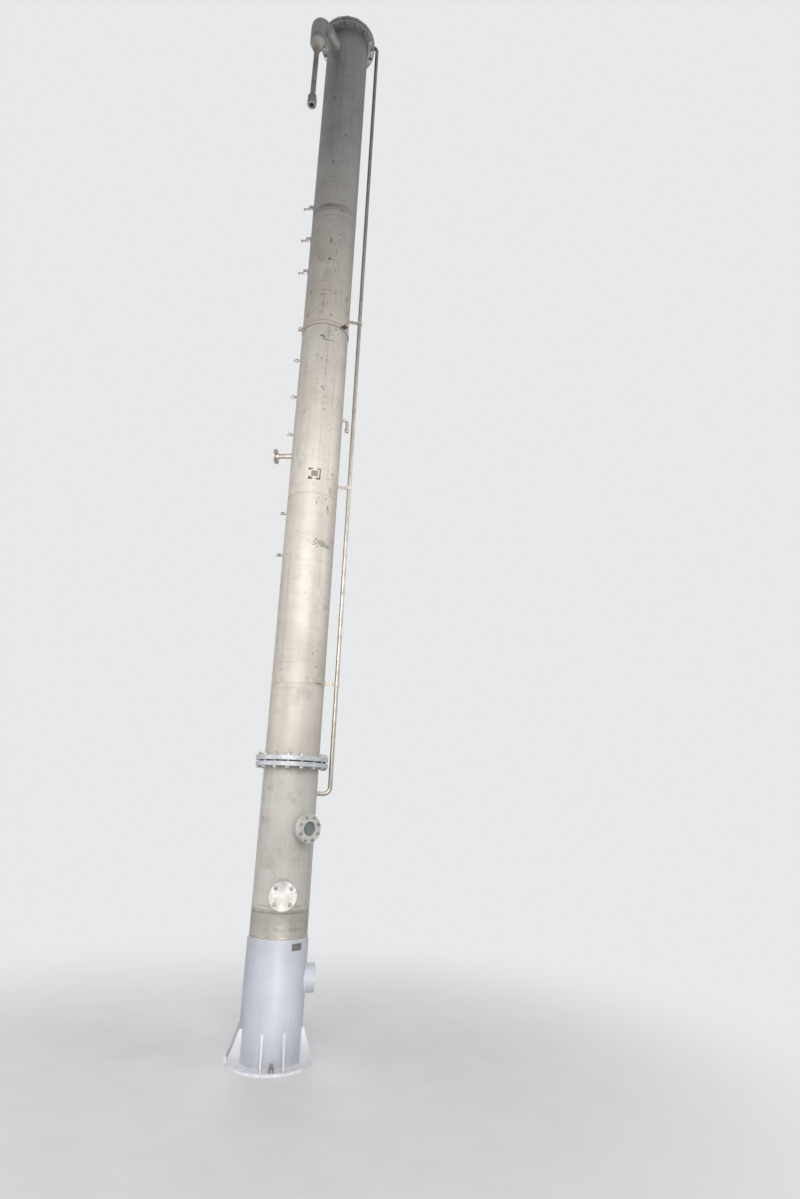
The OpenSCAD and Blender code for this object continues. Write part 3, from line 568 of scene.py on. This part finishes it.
def piece(name, bm, material):
    """Turns a bmesh into a named piece of the object."""
    bmesh.ops.recalc_face_normals(bm, faces=bm.faces)
    for f in bm.faces:
        f.smooth = True
    mesh = bpy.data.meshes.new(name)
    bm.to_mesh(mesh)
    bm.free()
    mesh.materials.append(MATERIALS[material])
    mesh.set_sharp_from_angle(angle=math.radians(38))
    obj = place_object(name, mesh)
    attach(obj, BODY)
    return obj


def join_rings(bm, rings, closed=False):
    """Skins rings of equal length with quads, and caps both ends unless they close up."""
    made = [[bm.verts.new(p) for p in ring] for ring in rings]
    count = len(made[0])
    for a, b in zip(made, made[1:] + made[:1] if closed else made[1:]):
        for k in range(count):
            n = (k + 1) % count
            bm.faces.new((a[k], a[n], b[n], b[k]))
    if not closed:
        bm.faces.new(made[0])
        bm.faces.new(made[-1][::-1])


def turns(count, phase=0.0):
    """Angles of a whole turn in equal steps."""
    return [2 * math.pi * (k + phase) / count for k in range(count)]


def around(a, r, height=0.0):
    """Point at an angle, radius and height in a frame of its own."""
    return Vector((r * math.cos(a), r * math.sin(a), height))


def lathe(bm, frame_of, profile, segments):
    """Turns (radius, height) points round a frame's Z."""
    join_rings(bm, [[frame_of @ around(a, radius, height) for a in turns(segments)]
                    for radius, height in profile])


def facing(origin, normal):
    """Frame at a point with Z along a normal."""
    z = Vector(normal).normalized()
    x = UP.cross(z)
    x = Vector((1, 0, 0)) if x.length < 1e-6 else x.normalized()
    m = Matrix((x, z.cross(x), z)).transposed().to_4x4()
    m.translation = origin
    return m


def hex_nut(bm, frame_of, flat, height, bore, flat_seat=False):
    """Hexagon nut with its seat at z = 0: chamfer arcs on top, and below unless its seat is flat."""
    crown = flat / 2 * 0.94
    rings = [], [], [], [], []
    for a in turns(24):
        swing = (math.degrees(a) + 30) % 60 - 30
        r = flat / 2 / math.cos(math.radians(swing))
        drop = (r - crown) * math.tan(math.radians(30))
        profile = ((crown, 0), (r, 0.0 if flat_seat else drop), (r, height - drop), (crown, height),
                   (bore, height))
        for ring, (radius, level) in zip(rings, profile):
            ring.append(frame_of @ around(a, radius, level))
    join_rings(bm, rings)


def threaded_end(bm, frame_of, radius, start, length, pitch):
    """Bolt end with cut threads and a chamfered tip."""
    depth = pitch * 0.55
    profile = [(radius - depth, start)]
    z = start
    while z + pitch < start + length - pitch:
        profile += [(radius, z + pitch * 0.35), (radius, z + pitch * 0.5), (radius - depth, z + pitch)]
        z += pitch
    profile += [(radius - depth * 0.6, start + length - depth), (radius - 2.2 * depth, start + length)]
    lathe(bm, frame_of, profile, 16)


def seated_nut(bm, place, washer_r, thick, flat, height, bore):
    """A nut on its washer. Gives back the frame at the nut's seat."""
    lathe(bm, place, [(washer_r * 0.97, 0.0), (washer_r, thick * 0.15), (washer_r, thick * 0.85),
                      (washer_r * 0.97, thick)], 24)
    seat = place @ Matrix.Translation((0, 0, thick))
    hex_nut(bm, seat, flat, height, bore, flat_seat=True)
    return seat


def spun(place, source):
    """A frame, turned about its Z by a random angle."""
    return place @ Matrix.Rotation(source.uniform(0, 1.0), 4, "Z")


def stud_set(name, spots, size, grip, material="steel_bolt", extra=0.007):
    """A bolt with two nuts and washers at each (origin, normal), origin on the near face.
    It runs back through grip, and out past the near nut by extra."""
    source = random.Random(len(name) * 7 + len(spots))
    flat, high, low = size * 1.5, size * 0.8, size * 0.65
    washer_r, thick, bore = size * 0.92, size * 0.15, size * 0.42
    bm = bmesh.new()
    for origin, normal in spots:
        normal = Vector(normal).normalized()
        near = spun(facing(origin, normal), source)
        seat = seated_nut(bm, near, washer_r, thick, flat, high, bore)
        threaded_end(bm, seat, size / 2, high - size * 0.1, extra + size * 0.1, size * 0.125)
        back = spun(facing(Vector(origin) - normal * grip, -normal), source)
        seated_nut(bm, back, washer_r, thick, flat, low, bore)
        lathe(bm, near, [(size * 0.44, -0.0005), (size * 0.44, -grip + 0.0005)], 12)
    piece(name, bm, material)


def circle_spots(centre, normal, pcd, count):
    """Bolt places on a circle that faces along normal, straddling the axes."""
    f = facing(Vector(centre), normal)
    return [(f @ around(a, pcd / 2), normal) for a in turns(count, 0.5)]


def bead(bm, points, radius, closed=True, flatten=1.0):
    """Weld bead: a slightly uneven tube along points, each (position, outward normal)."""
    rings = []
    count = len(points)
    for k, (p, n) in enumerate(points):
        if closed:
            ahead, behind = points[(k + 1) % count][0], points[k - 1][0]
        else:
            ahead, behind = points[min(k + 1, count - 1)][0], points[max(k - 1, 0)][0]
        along = (ahead - behind).normalized()
        n = (n - along * n.dot(along)).normalized()
        side = along.cross(n)
        r = radius * (1 + rng.uniform(-0.14, 0.14))
        rings.append([p + side * (r * math.cos(a)) + n * (r * flatten * math.sin(a))
                      for a in turns(6)])
    join_rings(bm, rings, closed=closed)


def girth_bead(bm, z, r, width, lift=0.45):
    """Bead round the whole column."""
    steps, wobble = 240, 0.0006
    angles = [360 * k / steps for k in range(steps)]
    points = [(out(a, r, z + rng.uniform(-wobble, wobble)), out(a, 1.0, 0)) for a in angles]
    bead(bm, points, width / 2, flatten=lift)


def saddle_bead(bm, phi, z, r_pipe, r_body, radius):
    """Bead where a radial pipe meets the round body."""
    points = []
    for a in turns(64):
        u, v = r_pipe * math.cos(a), r_pipe * math.sin(a)
        depth = math.sqrt(r_body ** 2 - u ** 2)
        points.append((out(phi, depth, z + v, u),
                       out(phi, 0.6, math.sin(a), math.cos(a)).normalized()))
    bead(bm, points, radius)


def ring_bead(centre, axis, radius, size, flatten=0.5):
    """Butt weld round a pipe. A small flatten sinks it, so that it stays inside a bend's reach."""
    radius -= size * (0.5 - flatten) * 1.2
    f = facing(Vector(centre), axis)
    points = [(f @ around(a, radius), f.to_3x3() @ around(a, 1.0))
              for a in turns(max(24, int(radius * 900)))]
    bead(bm, points, size, flatten=flatten)


# Welds on the shell

# How far the beads are sunk into the plate
SUNK = 0.0006
bm = bmesh.new()
for z in (SEAM_1, SEAM_2):
    girth_bead(bm, z, SHELL_R - SUNK, 0.006)
for offset in (-0.015, 0.015):
    girth_bead(bm, MAKE_UP_TOP + offset, SHELL_R - SUNK, 0.005)
# Upright seams: angle, lowest and highest height
for phi, low, high in ((140, MAKE_UP_TOP, foot("lower_body_flange")),
                       (-100, top("upper_body_flange"), SEAM_1), (160, SEAM_1, SEAM_2),
                       (2, SEAM_2, BAND_LOW), (-165, BAND_HIGH, SEAM_4),
                       (150, SEAM_4, foot("lower_head_flange"))):
    steps = int((high - low) / 0.02)
    heights = [low + 0.004 + (high - low - 0.008) * k / steps for k in range(steps + 1)]
    points = [(out(phi, SHELL_R - 0.0007, z), out(phi, 1, 0)) for z in heights]
    bead(bm, points, 0.0022, closed=False, flatten=0.5)
piece("shell_weld_beads", bm, "weld_steel")

bm = bmesh.new()
girth_bead(bm, SEAM_4, SHELL_R - SUNK, 0.009)
piece("upper_seam_weld_bead", bm, "weld_burnt")

bm = bmesh.new()
girth_bead(bm, top("bottom_head"), SHELL_R - 0.0004, 0.008)
piece("bottom_head_weld_bead", bm, "weld_dull")

# Angles from the front, heights, and the radii of the pipes
LEG_PHI, LEG_R = math.degrees(math.atan2(LEG.x, -LEG.y)), LEG.length
LEFT_PHI, RIGHT_PHI, BACK_PHI, RETURN_PHI, SIGHT_PHI, HAND_PHI = -110, 90, 180, 80, 30, -3
VAPOUR_R, TUBE_R, RETURN_R, SAMPLE_R = 0.06985, 0.01685, 0.01345, 0.0086
SMALL_R, REBOILER_R, OUTLET_R, REBOILER_FLANGE_R = 0.02415, 0.05715, 0.03015, 0.105
VAPOUR_Z = top("vapour_elbow") - VAPOUR_R
SIDE_Z = (foot("side_tube_bends") + TUBE_R, top("side_tube_bends") - TUBE_R)
SIDE_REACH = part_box("side_tube_bends")[1].x - TUBE_R
FEED_Z, OUTLET_Z = middle("feed_nozzle"), middle("outlet_flange")
BACK_Z = (foot("reboiler_nozzles") + REBOILER_FLANGE_R, top("reboiler_nozzles") - REBOILER_FLANGE_R)
# The tube's three brackets, from the lowest up
CLIP_HALF, CLIP_RISES = 0.015, (0.0, 1.667, 3.292)
CLIP_Z = [foot("side_tube_brackets") + CLIP_HALF + rise for rise in CLIP_RISES]
RETURN_Z = top("return_nozzle") - RETURN_R
SIGHT_Z, HAND_Z = middle("sight_glass_cover"), middle("hand_hole_cover")
# Six places at one pitch, of which the feed nozzle takes the third
WELL_FLAT, WELL_PITCH, FEED_PLACE = 0.03, 0.365, 2
WELL_Z = [foot("thermowells") + WELL_FLAT / 2 + WELL_PITCH * k for k in range(6) if k != FEED_PLACE]
valve_low, valve_high = foot("sample_nozzles"), top("sample_nozzles")
VALVE_Z = [(valve_low + SAMPLE_R) + (valve_high - valve_low - 2 * SAMPLE_R) * k / 2 for k in range(3)]

bm = bmesh.new()
# Angle, height, radius of the pipe at its weld, bead size
for phi, z, r, size in [(SIGHT_PHI, SIGHT_Z, 0.0553, 0.0036), (HAND_PHI, HAND_Z, 0.04475, 0.0034),
                        (LEFT_PHI, FEED_Z, 0.0245, 0.003), (RETURN_PHI, RETURN_Z, 0.0138, 0.0024),
                        (LEG_PHI, VAPOUR_Z, VAPOUR_R + 0.0003, 0.0034),
                        (RIGHT_PHI, SIDE_Z[0], TUBE_R + 0.0004, 0.0026),
                        (RIGHT_PHI, SIDE_Z[1], TUBE_R + 0.0004, 0.0026),
                        (BACK_PHI, BACK_Z[0], 0.0575, 0.0036), (BACK_PHI, BACK_Z[1], 0.0575, 0.0036),
                        *((LEFT_PHI, z, 0.011, 0.0024) for z in WELL_Z),
                        *((LEFT_PHI, z, 0.0089, 0.0021) for z in VALVE_Z)]:
    saddle_bead(bm, phi, z, r, SHELL_R, size)
piece("nozzle_weld_beads", bm, "weld_steel")

VAPOUR_BEND, SIDE_BEND, RETURN_BEND = 0.127, 0.048, 0.029
FEED_NECK, REBOILER_NECK, OUTLET_NECK, RETURN_REACH = 0.313, 0.326, 0.288, 0.246
bm = bmesh.new()
ring_bead(out(LEG_PHI, LEG_R - VAPOUR_BEND, VAPOUR_Z), out(LEG_PHI, 1, 0), VAPOUR_R, 0.0032)
for z in (VAPOUR_Z - VAPOUR_BEND, foot("vapour_elbow")):
    ring_bead(out(LEG_PHI, LEG_R, z), UP, VAPOUR_R, 0.0032, 0.25)
ring_bead(out(LEG_PHI, LEG_R, foot("vapour_reducer")), UP, SMALL_R, 0.0024)
for z, s in ((SIDE_Z[0], 1), (SIDE_Z[1], -1)):
    ring_bead(out(RIGHT_PHI, SIDE_REACH - SIDE_BEND, z), out(RIGHT_PHI, 1, 0), TUBE_R, 0.0019)
    ring_bead(out(RIGHT_PHI, SIDE_REACH, z + s * SIDE_BEND), UP, TUBE_R, 0.0019)
# Butt welds of the radial pipes: angle, distance from the axis, height, radius, bead size
for phi, reach, z, r, size in (
        (LEFT_PHI, FEED_NECK, FEED_Z, SMALL_R, 0.0024),
        (BACK_PHI, REBOILER_NECK, BACK_Z[0], REBOILER_R, 0.003),
        (BACK_PHI, REBOILER_NECK, BACK_Z[1], REBOILER_R, 0.003),
        (BACK_PHI, OUTLET_NECK, OUTLET_Z, OUTLET_R, 0.0026),
        (RETURN_PHI, RETURN_REACH - RETURN_BEND, RETURN_Z, RETURN_R, 0.0018)):
    ring_bead(out(phi, reach, z), out(phi, 1, 0), r, size)
ring_bead(out(RETURN_PHI, RETURN_REACH, RETURN_Z - RETURN_BEND), UP, RETURN_R, 0.0018)
piece("butt_weld_beads", bm, "weld_steel")

bm = bmesh.new()
for clip_z in CLIP_Z:
    for s in (-1, 1):
        points = [(out(RIGHT_PHI, SHELL_R + 0.0012, clip_z - 0.014 + 0.028 * k / 8, s * 0.0032),
                   out(RIGHT_PHI, 1, 0, s)) for k in range(9)]
        bead(bm, points, 0.0024, closed=False)
piece("bracket_weld_beads", bm, "weld_steel")


# Marks on the shell


def curved_plate(bm, phi, z, wide, high, lift, thick, cols=6, wobble=0.0, radius=SHELL_R):
    """Thin plate that hugs the round shell."""
    rows = 6
    grid = {}
    for layer, r in enumerate((radius + lift, radius + lift + thick)):
        for j in range(rows + 1):
            for i in range(cols + 1):
                edge = i in (0, cols) or j in (0, rows)
                du = rng.uniform(-wobble, wobble) if edge and layer else 0.0
                a = phi + math.degrees(((i / cols - 0.5) * wide + du) / radius)
                shrink = 0.94 if layer and wobble else 1.0
                grid[layer, i, j] = bm.verts.new(out(a, r, z + (j / rows - 0.5) * high * shrink + du))
    for j in range(rows):
        for i in range(cols):
            for layer in (0, 1):
                face = [grid[layer, i, j], grid[layer, i + 1, j],
                        grid[layer, i + 1, j + 1], grid[layer, i, j + 1]]
                bm.faces.new(face if layer else face[::-1])
    loop = ([(i, 0) for i in range(cols)] + [(cols, j) for j in range(rows)]
            + [(i, rows) for i in range(cols, 0, -1)] + [(0, j) for j in range(rows, 0, -1)])
    for (i, j), (i2, j2) in zip(loop, loop[1:] + loop[:1]):
        bm.faces.new((grid[0, i, j], grid[0, i2, j2], grid[1, i2, j2], grid[1, i, j]))


MARK_PHI, MARK_Z, MARK_HALF = -5.3, 4.246, 0.05
bm = bmesh.new()
# Four corners of a square: left or right, up or down, width and height of the corner, and the
# thickness of its upright bar and of its level bar
for sx, sz, long_side, tall_side, wide_bar, high_bar in (
        (-1, 1, 0.034, 0.022, 0.013, 0.014), (1, 1, 0.028, 0.05, 0.009, 0.013),
        (-1, -1, 0.034, 0.026, 0.018, 0.019), (1, -1, 0.038, 0.048, 0.01, 0.014)):
    for wide, high in ((long_side, high_bar), (wide_bar, tall_side)):
        phi = MARK_PHI + math.degrees(sx * (MARK_HALF - wide / 2) / SHELL_R)
        curved_plate(bm, phi, MARK_Z + sz * (MARK_HALF - high / 2), wide, high, -0.0003, 0.0009,
                     wobble=0.0012)
for phi, z, wide, high in ((-10.5, 5.54, 0.026, 0.007), (9.8, 3.686, 0.009, 0.007),
                           (46, SEAM_1 + 0.014, 0.05, 0.007)):
    curved_plate(bm, phi, z, wide, high, -0.0003, 0.0008, wobble=0.001)
piece("tack_weld_marks", bm, "steel_scorched_and_shade")


# Skirt and base


def skirt_depth(side):
    """How far out the skirt's surface lies beside a radial plane."""
    return math.sqrt(SKIRT_R ** 2 - side ** 2) + 0.0004


SLEEVE_Z, SLEEVE_R = 0.51, 0.09685
GUSSET_SIDE = SKIRT_R * math.sin(math.radians(20))
GUSSET_TOE, GUSSET_HALF, FILLET_R = 0.281, 0.006, 0.0042
base_top, gusset_top = top("base_ring"), top("base_gussets")
bm = bmesh.new()
girth_bead(bm, top("skirt") + 0.0005, SHELL_R + 0.003, 0.009, lift=0.8)
saddle_bead(bm, RIGHT_PHI, SLEEVE_Z, SLEEVE_R, SKIRT_R, 0.0045)
for k in range(4):
    for s in (-1, 1):
        for edge in (-1, 1):
            side = s * GUSSET_SIDE + edge * GUSSET_HALF
            inner = skirt_depth(side)
            rise = gusset_top - base_top - 0.008
            points = [(out(90 * k, GUSSET_TOE + (inner - GUSSET_TOE) * t / 8, base_top + 0.001, side),
                       (out(90 * k, 0, 0, edge) + UP).normalized()) for t in range(9)]
            bead(bm, points, FILLET_R, closed=False)
            points = [(out(90 * k, inner, base_top + 0.004 + rise * t / 16, side),
                       out(90 * k, 1, 0, edge).normalized()) for t in range(17)]
            bead(bm, points, FILLET_R, closed=False)
girth_bead(bm, base_top + 0.001, SKIRT_R + 0.001, 0.009, lift=1.0)
piece("skirt_weld_beads", bm, "paint_base")

# Gussets: in the photo the two of a pair stand parallel, on either side of their anchor bolt
bm = bmesh.new()
for k in range(4):
    for s in (-1, 1):
        side = s * GUSSET_SIDE
        inner = skirt_depth(abs(side) + GUSSET_HALF) - 0.003
        outline = ((inner, base_top), (GUSSET_TOE, base_top), (GUSSET_TOE, base_top + 0.016),
                   (inner + 0.019, gusset_top), (inner, gusset_top))
        near, far = ([bm.verts.new(out(90 * k, r, z, side + edge * GUSSET_HALF)) for r, z in outline]
                     for edge in (-1, 1))
        bm.faces.new(near)
        bm.faces.new(far[::-1])
        for i in range(len(outline)):
            j = (i + 1) % len(outline)
            bm.faces.new((near[i], far[i], far[j], near[j]))
bmesh.ops.bevel(bm, geom=list(bm.edges), offset=0.0012, segments=2, affect="EDGES", profile=0.5)
plates = piece("gusset_plates", bm, "paint_base")
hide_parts("base_gussets")

ANCHOR_R, ANCHOR_BOLT = 0.255, 0.02
bm = bmesh.new()
for k in range(4):
    stand = spun(facing(out(90 * k, ANCHOR_R, base_top), UP), rng)
    seat = seated_nut(bm, stand, 0.021, 0.003, 0.03, 0.016, 0.0085)
    threaded_end(bm, seat, ANCHOR_BOLT / 2, 0.014, 0.03, 0.0025)
    lathe(bm, stand, [(0.0095, 0.0005), (0.0095, -base_top + 0.0005)], 16)
piece("anchor_bolts", bm, "steel_dull_bolt")

PLATE_PHI, PLATE_Z, PLATE_W, PLATE_H, RIVET_IN = 33.0, 0.736, 0.08, 0.044, 0.007
bm = bmesh.new()
curved_plate(bm, PLATE_PHI, PLATE_Z, PLATE_W, PLATE_H, -0.0004, 0.0026, cols=12, radius=SKIRT_R)
for i, j in ((-1, -1), (1, -1), (1, 1), (-1, 1)):
    a = PLATE_PHI + math.degrees(i * (PLATE_W / 2 - RIVET_IN) / SKIRT_R)
    rivet = facing(out(a, SKIRT_R + 0.002, PLATE_Z + j * (PLATE_H / 2 - RIVET_IN)), out(a, 1, 0))
    lathe(bm, rivet, [(0.0032, 0), (0.003, 0.0008), (0.002, 0.0016), (0.0006, 0.0019)], 12)
piece("bare_plate", bm, "steel_plate_dark")


# Bolted joints

RING_PCD, RING_BOLTS, RING_BOLT = 0.495, 16, 0.02
for joint in ("body", "head"):
    high = top(f"upper_{joint}_flange")
    stud_set(f"{joint}_joint_bolts", circle_spots((0, 0, high), UP, RING_PCD, RING_BOLTS), RING_BOLT,
             high - foot(f"lower_{joint}_flange"))

COVER_FACE, COVER_GRIP = 0.28, 0.038
# Name, angle, height, pitch circle, number, size, and how far the thread stands out
for name, phi, z, pcd, count, size, extra in (
        ("sight_glass_bolts", SIGHT_PHI, SIGHT_Z, 0.162, 8, 0.012, 0.004),
        ("hand_hole_bolts", HAND_PHI, HAND_Z, 0.15, 4, 0.016, 0.005)):
    stud_set(name, circle_spots(out(phi, COVER_FACE, z), out(phi, 1, 0), pcd, count), size,
             COVER_GRIP, material="steel_dull_bolt", extra=extra)

BAND_R, EAR_REACH, LUG_REACH = SHELL_R + 0.0063, 0.034, 0.038
CLAMP_PHI, CLAMP_R, CLAMP_GRIP = -81, BAND_R + EAR_REACH * 0.6, 0.028
stud_set("clamp_bolt",
         [(out(CLAMP_PHI, CLAMP_R, middle("brace_band"), CLAMP_GRIP / 2), out(CLAMP_PHI, 0, 0, 1))],
         0.012, CLAMP_GRIP, extra=0.01)

LUG_PHI, LUG_R, LUG_TOP = (39, 159), BAND_R + LUG_REACH * 0.55, top("brace_lugs")
stud_set("lug_bolts", [(out(phi, LUG_R, LUG_TOP), UP) for phi in LUG_PHI], 0.012,
         LUG_TOP - foot("brace_lugs"), material="steel_rusty", extra=0.012)

CLIP_R, CLIP_BOLT_APART, CLIP_GRIP = 0.266, 0.0075, 0.005
stud_set("clip_bolts", [(out(RIGHT_PHI, CLIP_R, z + s * CLIP_BOLT_APART, -CLIP_GRIP / 2), (0, -1, 0))
                        for z in CLIP_Z for s in (-1, 1)],
         0.006, CLIP_GRIP, extra=0.003)

# Dark beads along both edges of the clamp band: painted shade where the band's edges meet the shell
bm = bmesh.new()
for z in (BAND_LOW - 0.0004, BAND_HIGH + 0.0004):
    angles = [-72 + 342 * k / 160 for k in range(161)]
    bead(bm, [(out(a, SHELL_R + 0.0008, z), out(a, 1, 0)) for a in angles], 0.0014, closed=False)
piece("band_edge_shade", bm, "steel_scorched_and_shade")

# Gland nuts and end nuts of the sample valves, and cable glands of the thermowells
BAR_R, NUT_R, END_NUT_R, GLAND_R = 0.2342, 0.253, 0.2895, 0.2645
BAR_RISE, CAP_RISE, CAP_APART = 0.0132, 0.0295, 0.02
level = out(LEFT_PHI, 1, 0)
bm = bmesh.new()
for z in VALVE_Z:
    hex_nut(bm, facing(out(LEFT_PHI, BAR_R, z + BAR_RISE), UP), 0.019, 0.009, 0.0052)
    hex_nut(bm, facing(out(LEFT_PHI, NUT_R, z), level), 0.024, 0.012, 0.0091)
    hex_nut(bm, facing(out(LEFT_PHI, END_NUT_R, z), level), 0.0225, 0.01, 0.0091)
    for s in (-1, 1):
        cap = facing(out(LEFT_PHI, BAR_R + s * CAP_APART, z + CAP_RISE), out(LEFT_PHI, s, 0))
        lathe(bm, cap, [(0.0094, -0.004), (0.0098, -0.002), (0.0094, 0.0008), (0.007, 0.0024)], 20)
for z in WELL_Z:
    hex_nut(bm, facing(out(LEFT_PHI, NUT_R, z), level), 0.02, 0.007, 0.0081)
    lathe(bm, facing(out(LEFT_PHI, GLAND_R, z), level),
          [(0.007, 0.0), (0.0078, 0.001), (0.0078, 0.003), (0.0062, 0.0045)], 20)
piece("valve_and_well_nuts", bm, "steel_bolt")

bm = bmesh.new()
for name in ("body_gasket", "head_gasket"):
    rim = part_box(name)[1].x - 0.0008
    bead(bm, [(out(360 * k / 96, rim, middle(name)), out(360 * k / 96, 1, 0)) for k in range(96)],
         0.0009)
piece("gasket_edges", bm, "gasket_sheet")


# Ground, light and camera

FLOOR_R = 60.0
BACKDROP = (0.8, 0.81, 0.82, 1.0)


def seen_rays(tree):
    """1 for what the camera, reflections and glass see, 0 for the light that falls on things."""
    path = tree.nodes.new("ShaderNodeLightPath")
    total = path.outputs["Is Camera Ray"]
    for ray in ("Is Glossy Ray", "Is Transmission Ray"):
        most = tree.nodes.new("ShaderNodeMath")
        most.operation = "MAXIMUM"
        tree.links.new(total, most.inputs[0])
        tree.links.new(path.outputs[ray], most.inputs[1])
        total = most.outputs[0]
    return total


def blend(tree, end, factor, first, second):
    """Joins two shaders into a tree's output."""
    join = tree.nodes.new("ShaderNodeMixShader")
    for socket, source in zip(join.inputs, (factor, first.outputs[0], second.outputs[0])):
        tree.links.new(source, socket)
    tree.links.new(join.outputs[0], end.inputs[0])


bm = bmesh.new()
bm.faces.new([bm.verts.new(around(a, FLOOR_R)) for a in turns(96)])
mesh = bpy.data.meshes.new("floor")
bm.to_mesh(mesh)
bm.free()
floor = place_object("floor", mesh)
ground = Graph("floor_pale")
fleck = ground.noise(3.0, 4.0, 0.5)
tone = ground.mix(ground.step(fleck, 0.3, 0.7), (0.76, 0.76, 0.755), (0.8, 0.8, 0.795))
ground.finish(tone, ground.line(fleck, 0.1, 0.75), 0.0, ground.bump(ground.noise(40.0, 3.0), 0.001, 0.1))
# Far from the column the floor runs into the backdrop, for the camera and in reflections
away = ground.length(ground.vector(ground.x, ground.y, 0.0))
fade = ground.line(ground.step(away, 0.5, 4.4), 0.88, 0.12)
glow = ground.node("ShaderNodeEmission", Color=BACKDROP, Strength=1.0)
blend(ground.tree, ground.end, ground.times(fade, seen_rays(ground.tree)), ground.shader, glow)
mesh.materials.append(ground.mat)

world = bpy.data.worlds.new("studio")
bpy.context.scene.world = world
world.use_nodes = True
tree = world.node_tree
tree.nodes.clear()
lit = tree.nodes.new("ShaderNodeBackground")
lit.inputs["Color"].default_value = (0.95, 0.97, 1.0, 1.0)
lit.inputs["Strength"].default_value = 0.25
seen = tree.nodes.new("ShaderNodeBackground")
seen.inputs["Color"].default_value = BACKDROP
seen.inputs["Strength"].default_value = 1.0
blend(tree, tree.nodes.new("ShaderNodeOutputWorld"), seen_rays(tree), lit, seen)


def softbox(name, location, aim, width, height, watts, colour, spread=180):
    data = bpy.data.lights.new(name, "AREA")
    data.shape = "RECTANGLE"
    data.size, data.size_y = width, height
    data.energy = watts
    data.color = colour
    data.spread = math.radians(spread)
    lamp = place_object(name, data)
    lamp.location = location
    lamp.visible_camera = False
    lamp.rotation_euler = (Vector(aim) - Vector(location)).to_track_quat("-Z", "Y").to_euler()


softbox("key_softbox", out(-15, 3.4, 3.8), (0, 0, 3.8), 3.4, 2.6, 125, (1.0, 0.975, 0.945))
softbox("low_softbox", out(2, 3.0, 0.45), (0, 0, 0.45), 0.7, 0.7, 1.75, (1.0, 0.985, 0.96), 30)
softbox("left_softbox", out(-80, 5.5, 2.8), (0, 0, 3.2), 2.4, 4.6, 46, (0.97, 0.98, 1.0))
softbox("right_softbox", out(63, 5.5, 5.9), (0, 0, 6.6), 2.4, 4.2, 98, (0.98, 0.985, 1.0))
softbox("back_softbox", out(180, 5.5, 4.0), (0, 0, 4.2), 3.0, 6.0, 150, (0.98, 0.985, 1.0))

# Camera: the focal length in pixels of the 1199-pixel-high image, place, turn, pitch and roll as fitted
FOCAL_PX, IMAGE_H, SENSOR_H = 707.0, 1199.0, 36.0
CAMERA_AT = (-0.484, -5.48, 1.747)
YAW, PITCH, ROLL = math.radians(13.0), math.radians(15.64), math.radians(2.34)
ahead = Vector((math.sin(YAW), math.cos(YAW), 0))
right = Vector((math.cos(YAW), -math.sin(YAW), 0))
look = ahead * math.cos(PITCH) + UP * math.sin(PITCH)
over = UP * math.cos(PITCH) - ahead * math.sin(PITCH)
cam_x = right * math.cos(ROLL) + over * math.sin(ROLL)
cam_y = over * math.cos(ROLL) - right * math.sin(ROLL)
data = bpy.data.cameras.new("camera")
data.sensor_fit = "VERTICAL"
data.sensor_height = SENSOR_H
data.lens = FOCAL_PX / IMAGE_H * SENSOR_H
data.clip_start, data.clip_end = 0.05, 200.0
camera = place_object("camera", data)
pose = Matrix((cam_x, cam_y, -look)).transposed().to_4x4()
pose.translation = CAMERA_AT
camera.matrix_world = pose
bpy.context.scene.camera = camera
bpy.context.scene.view_settings.view_transform = "Standard"
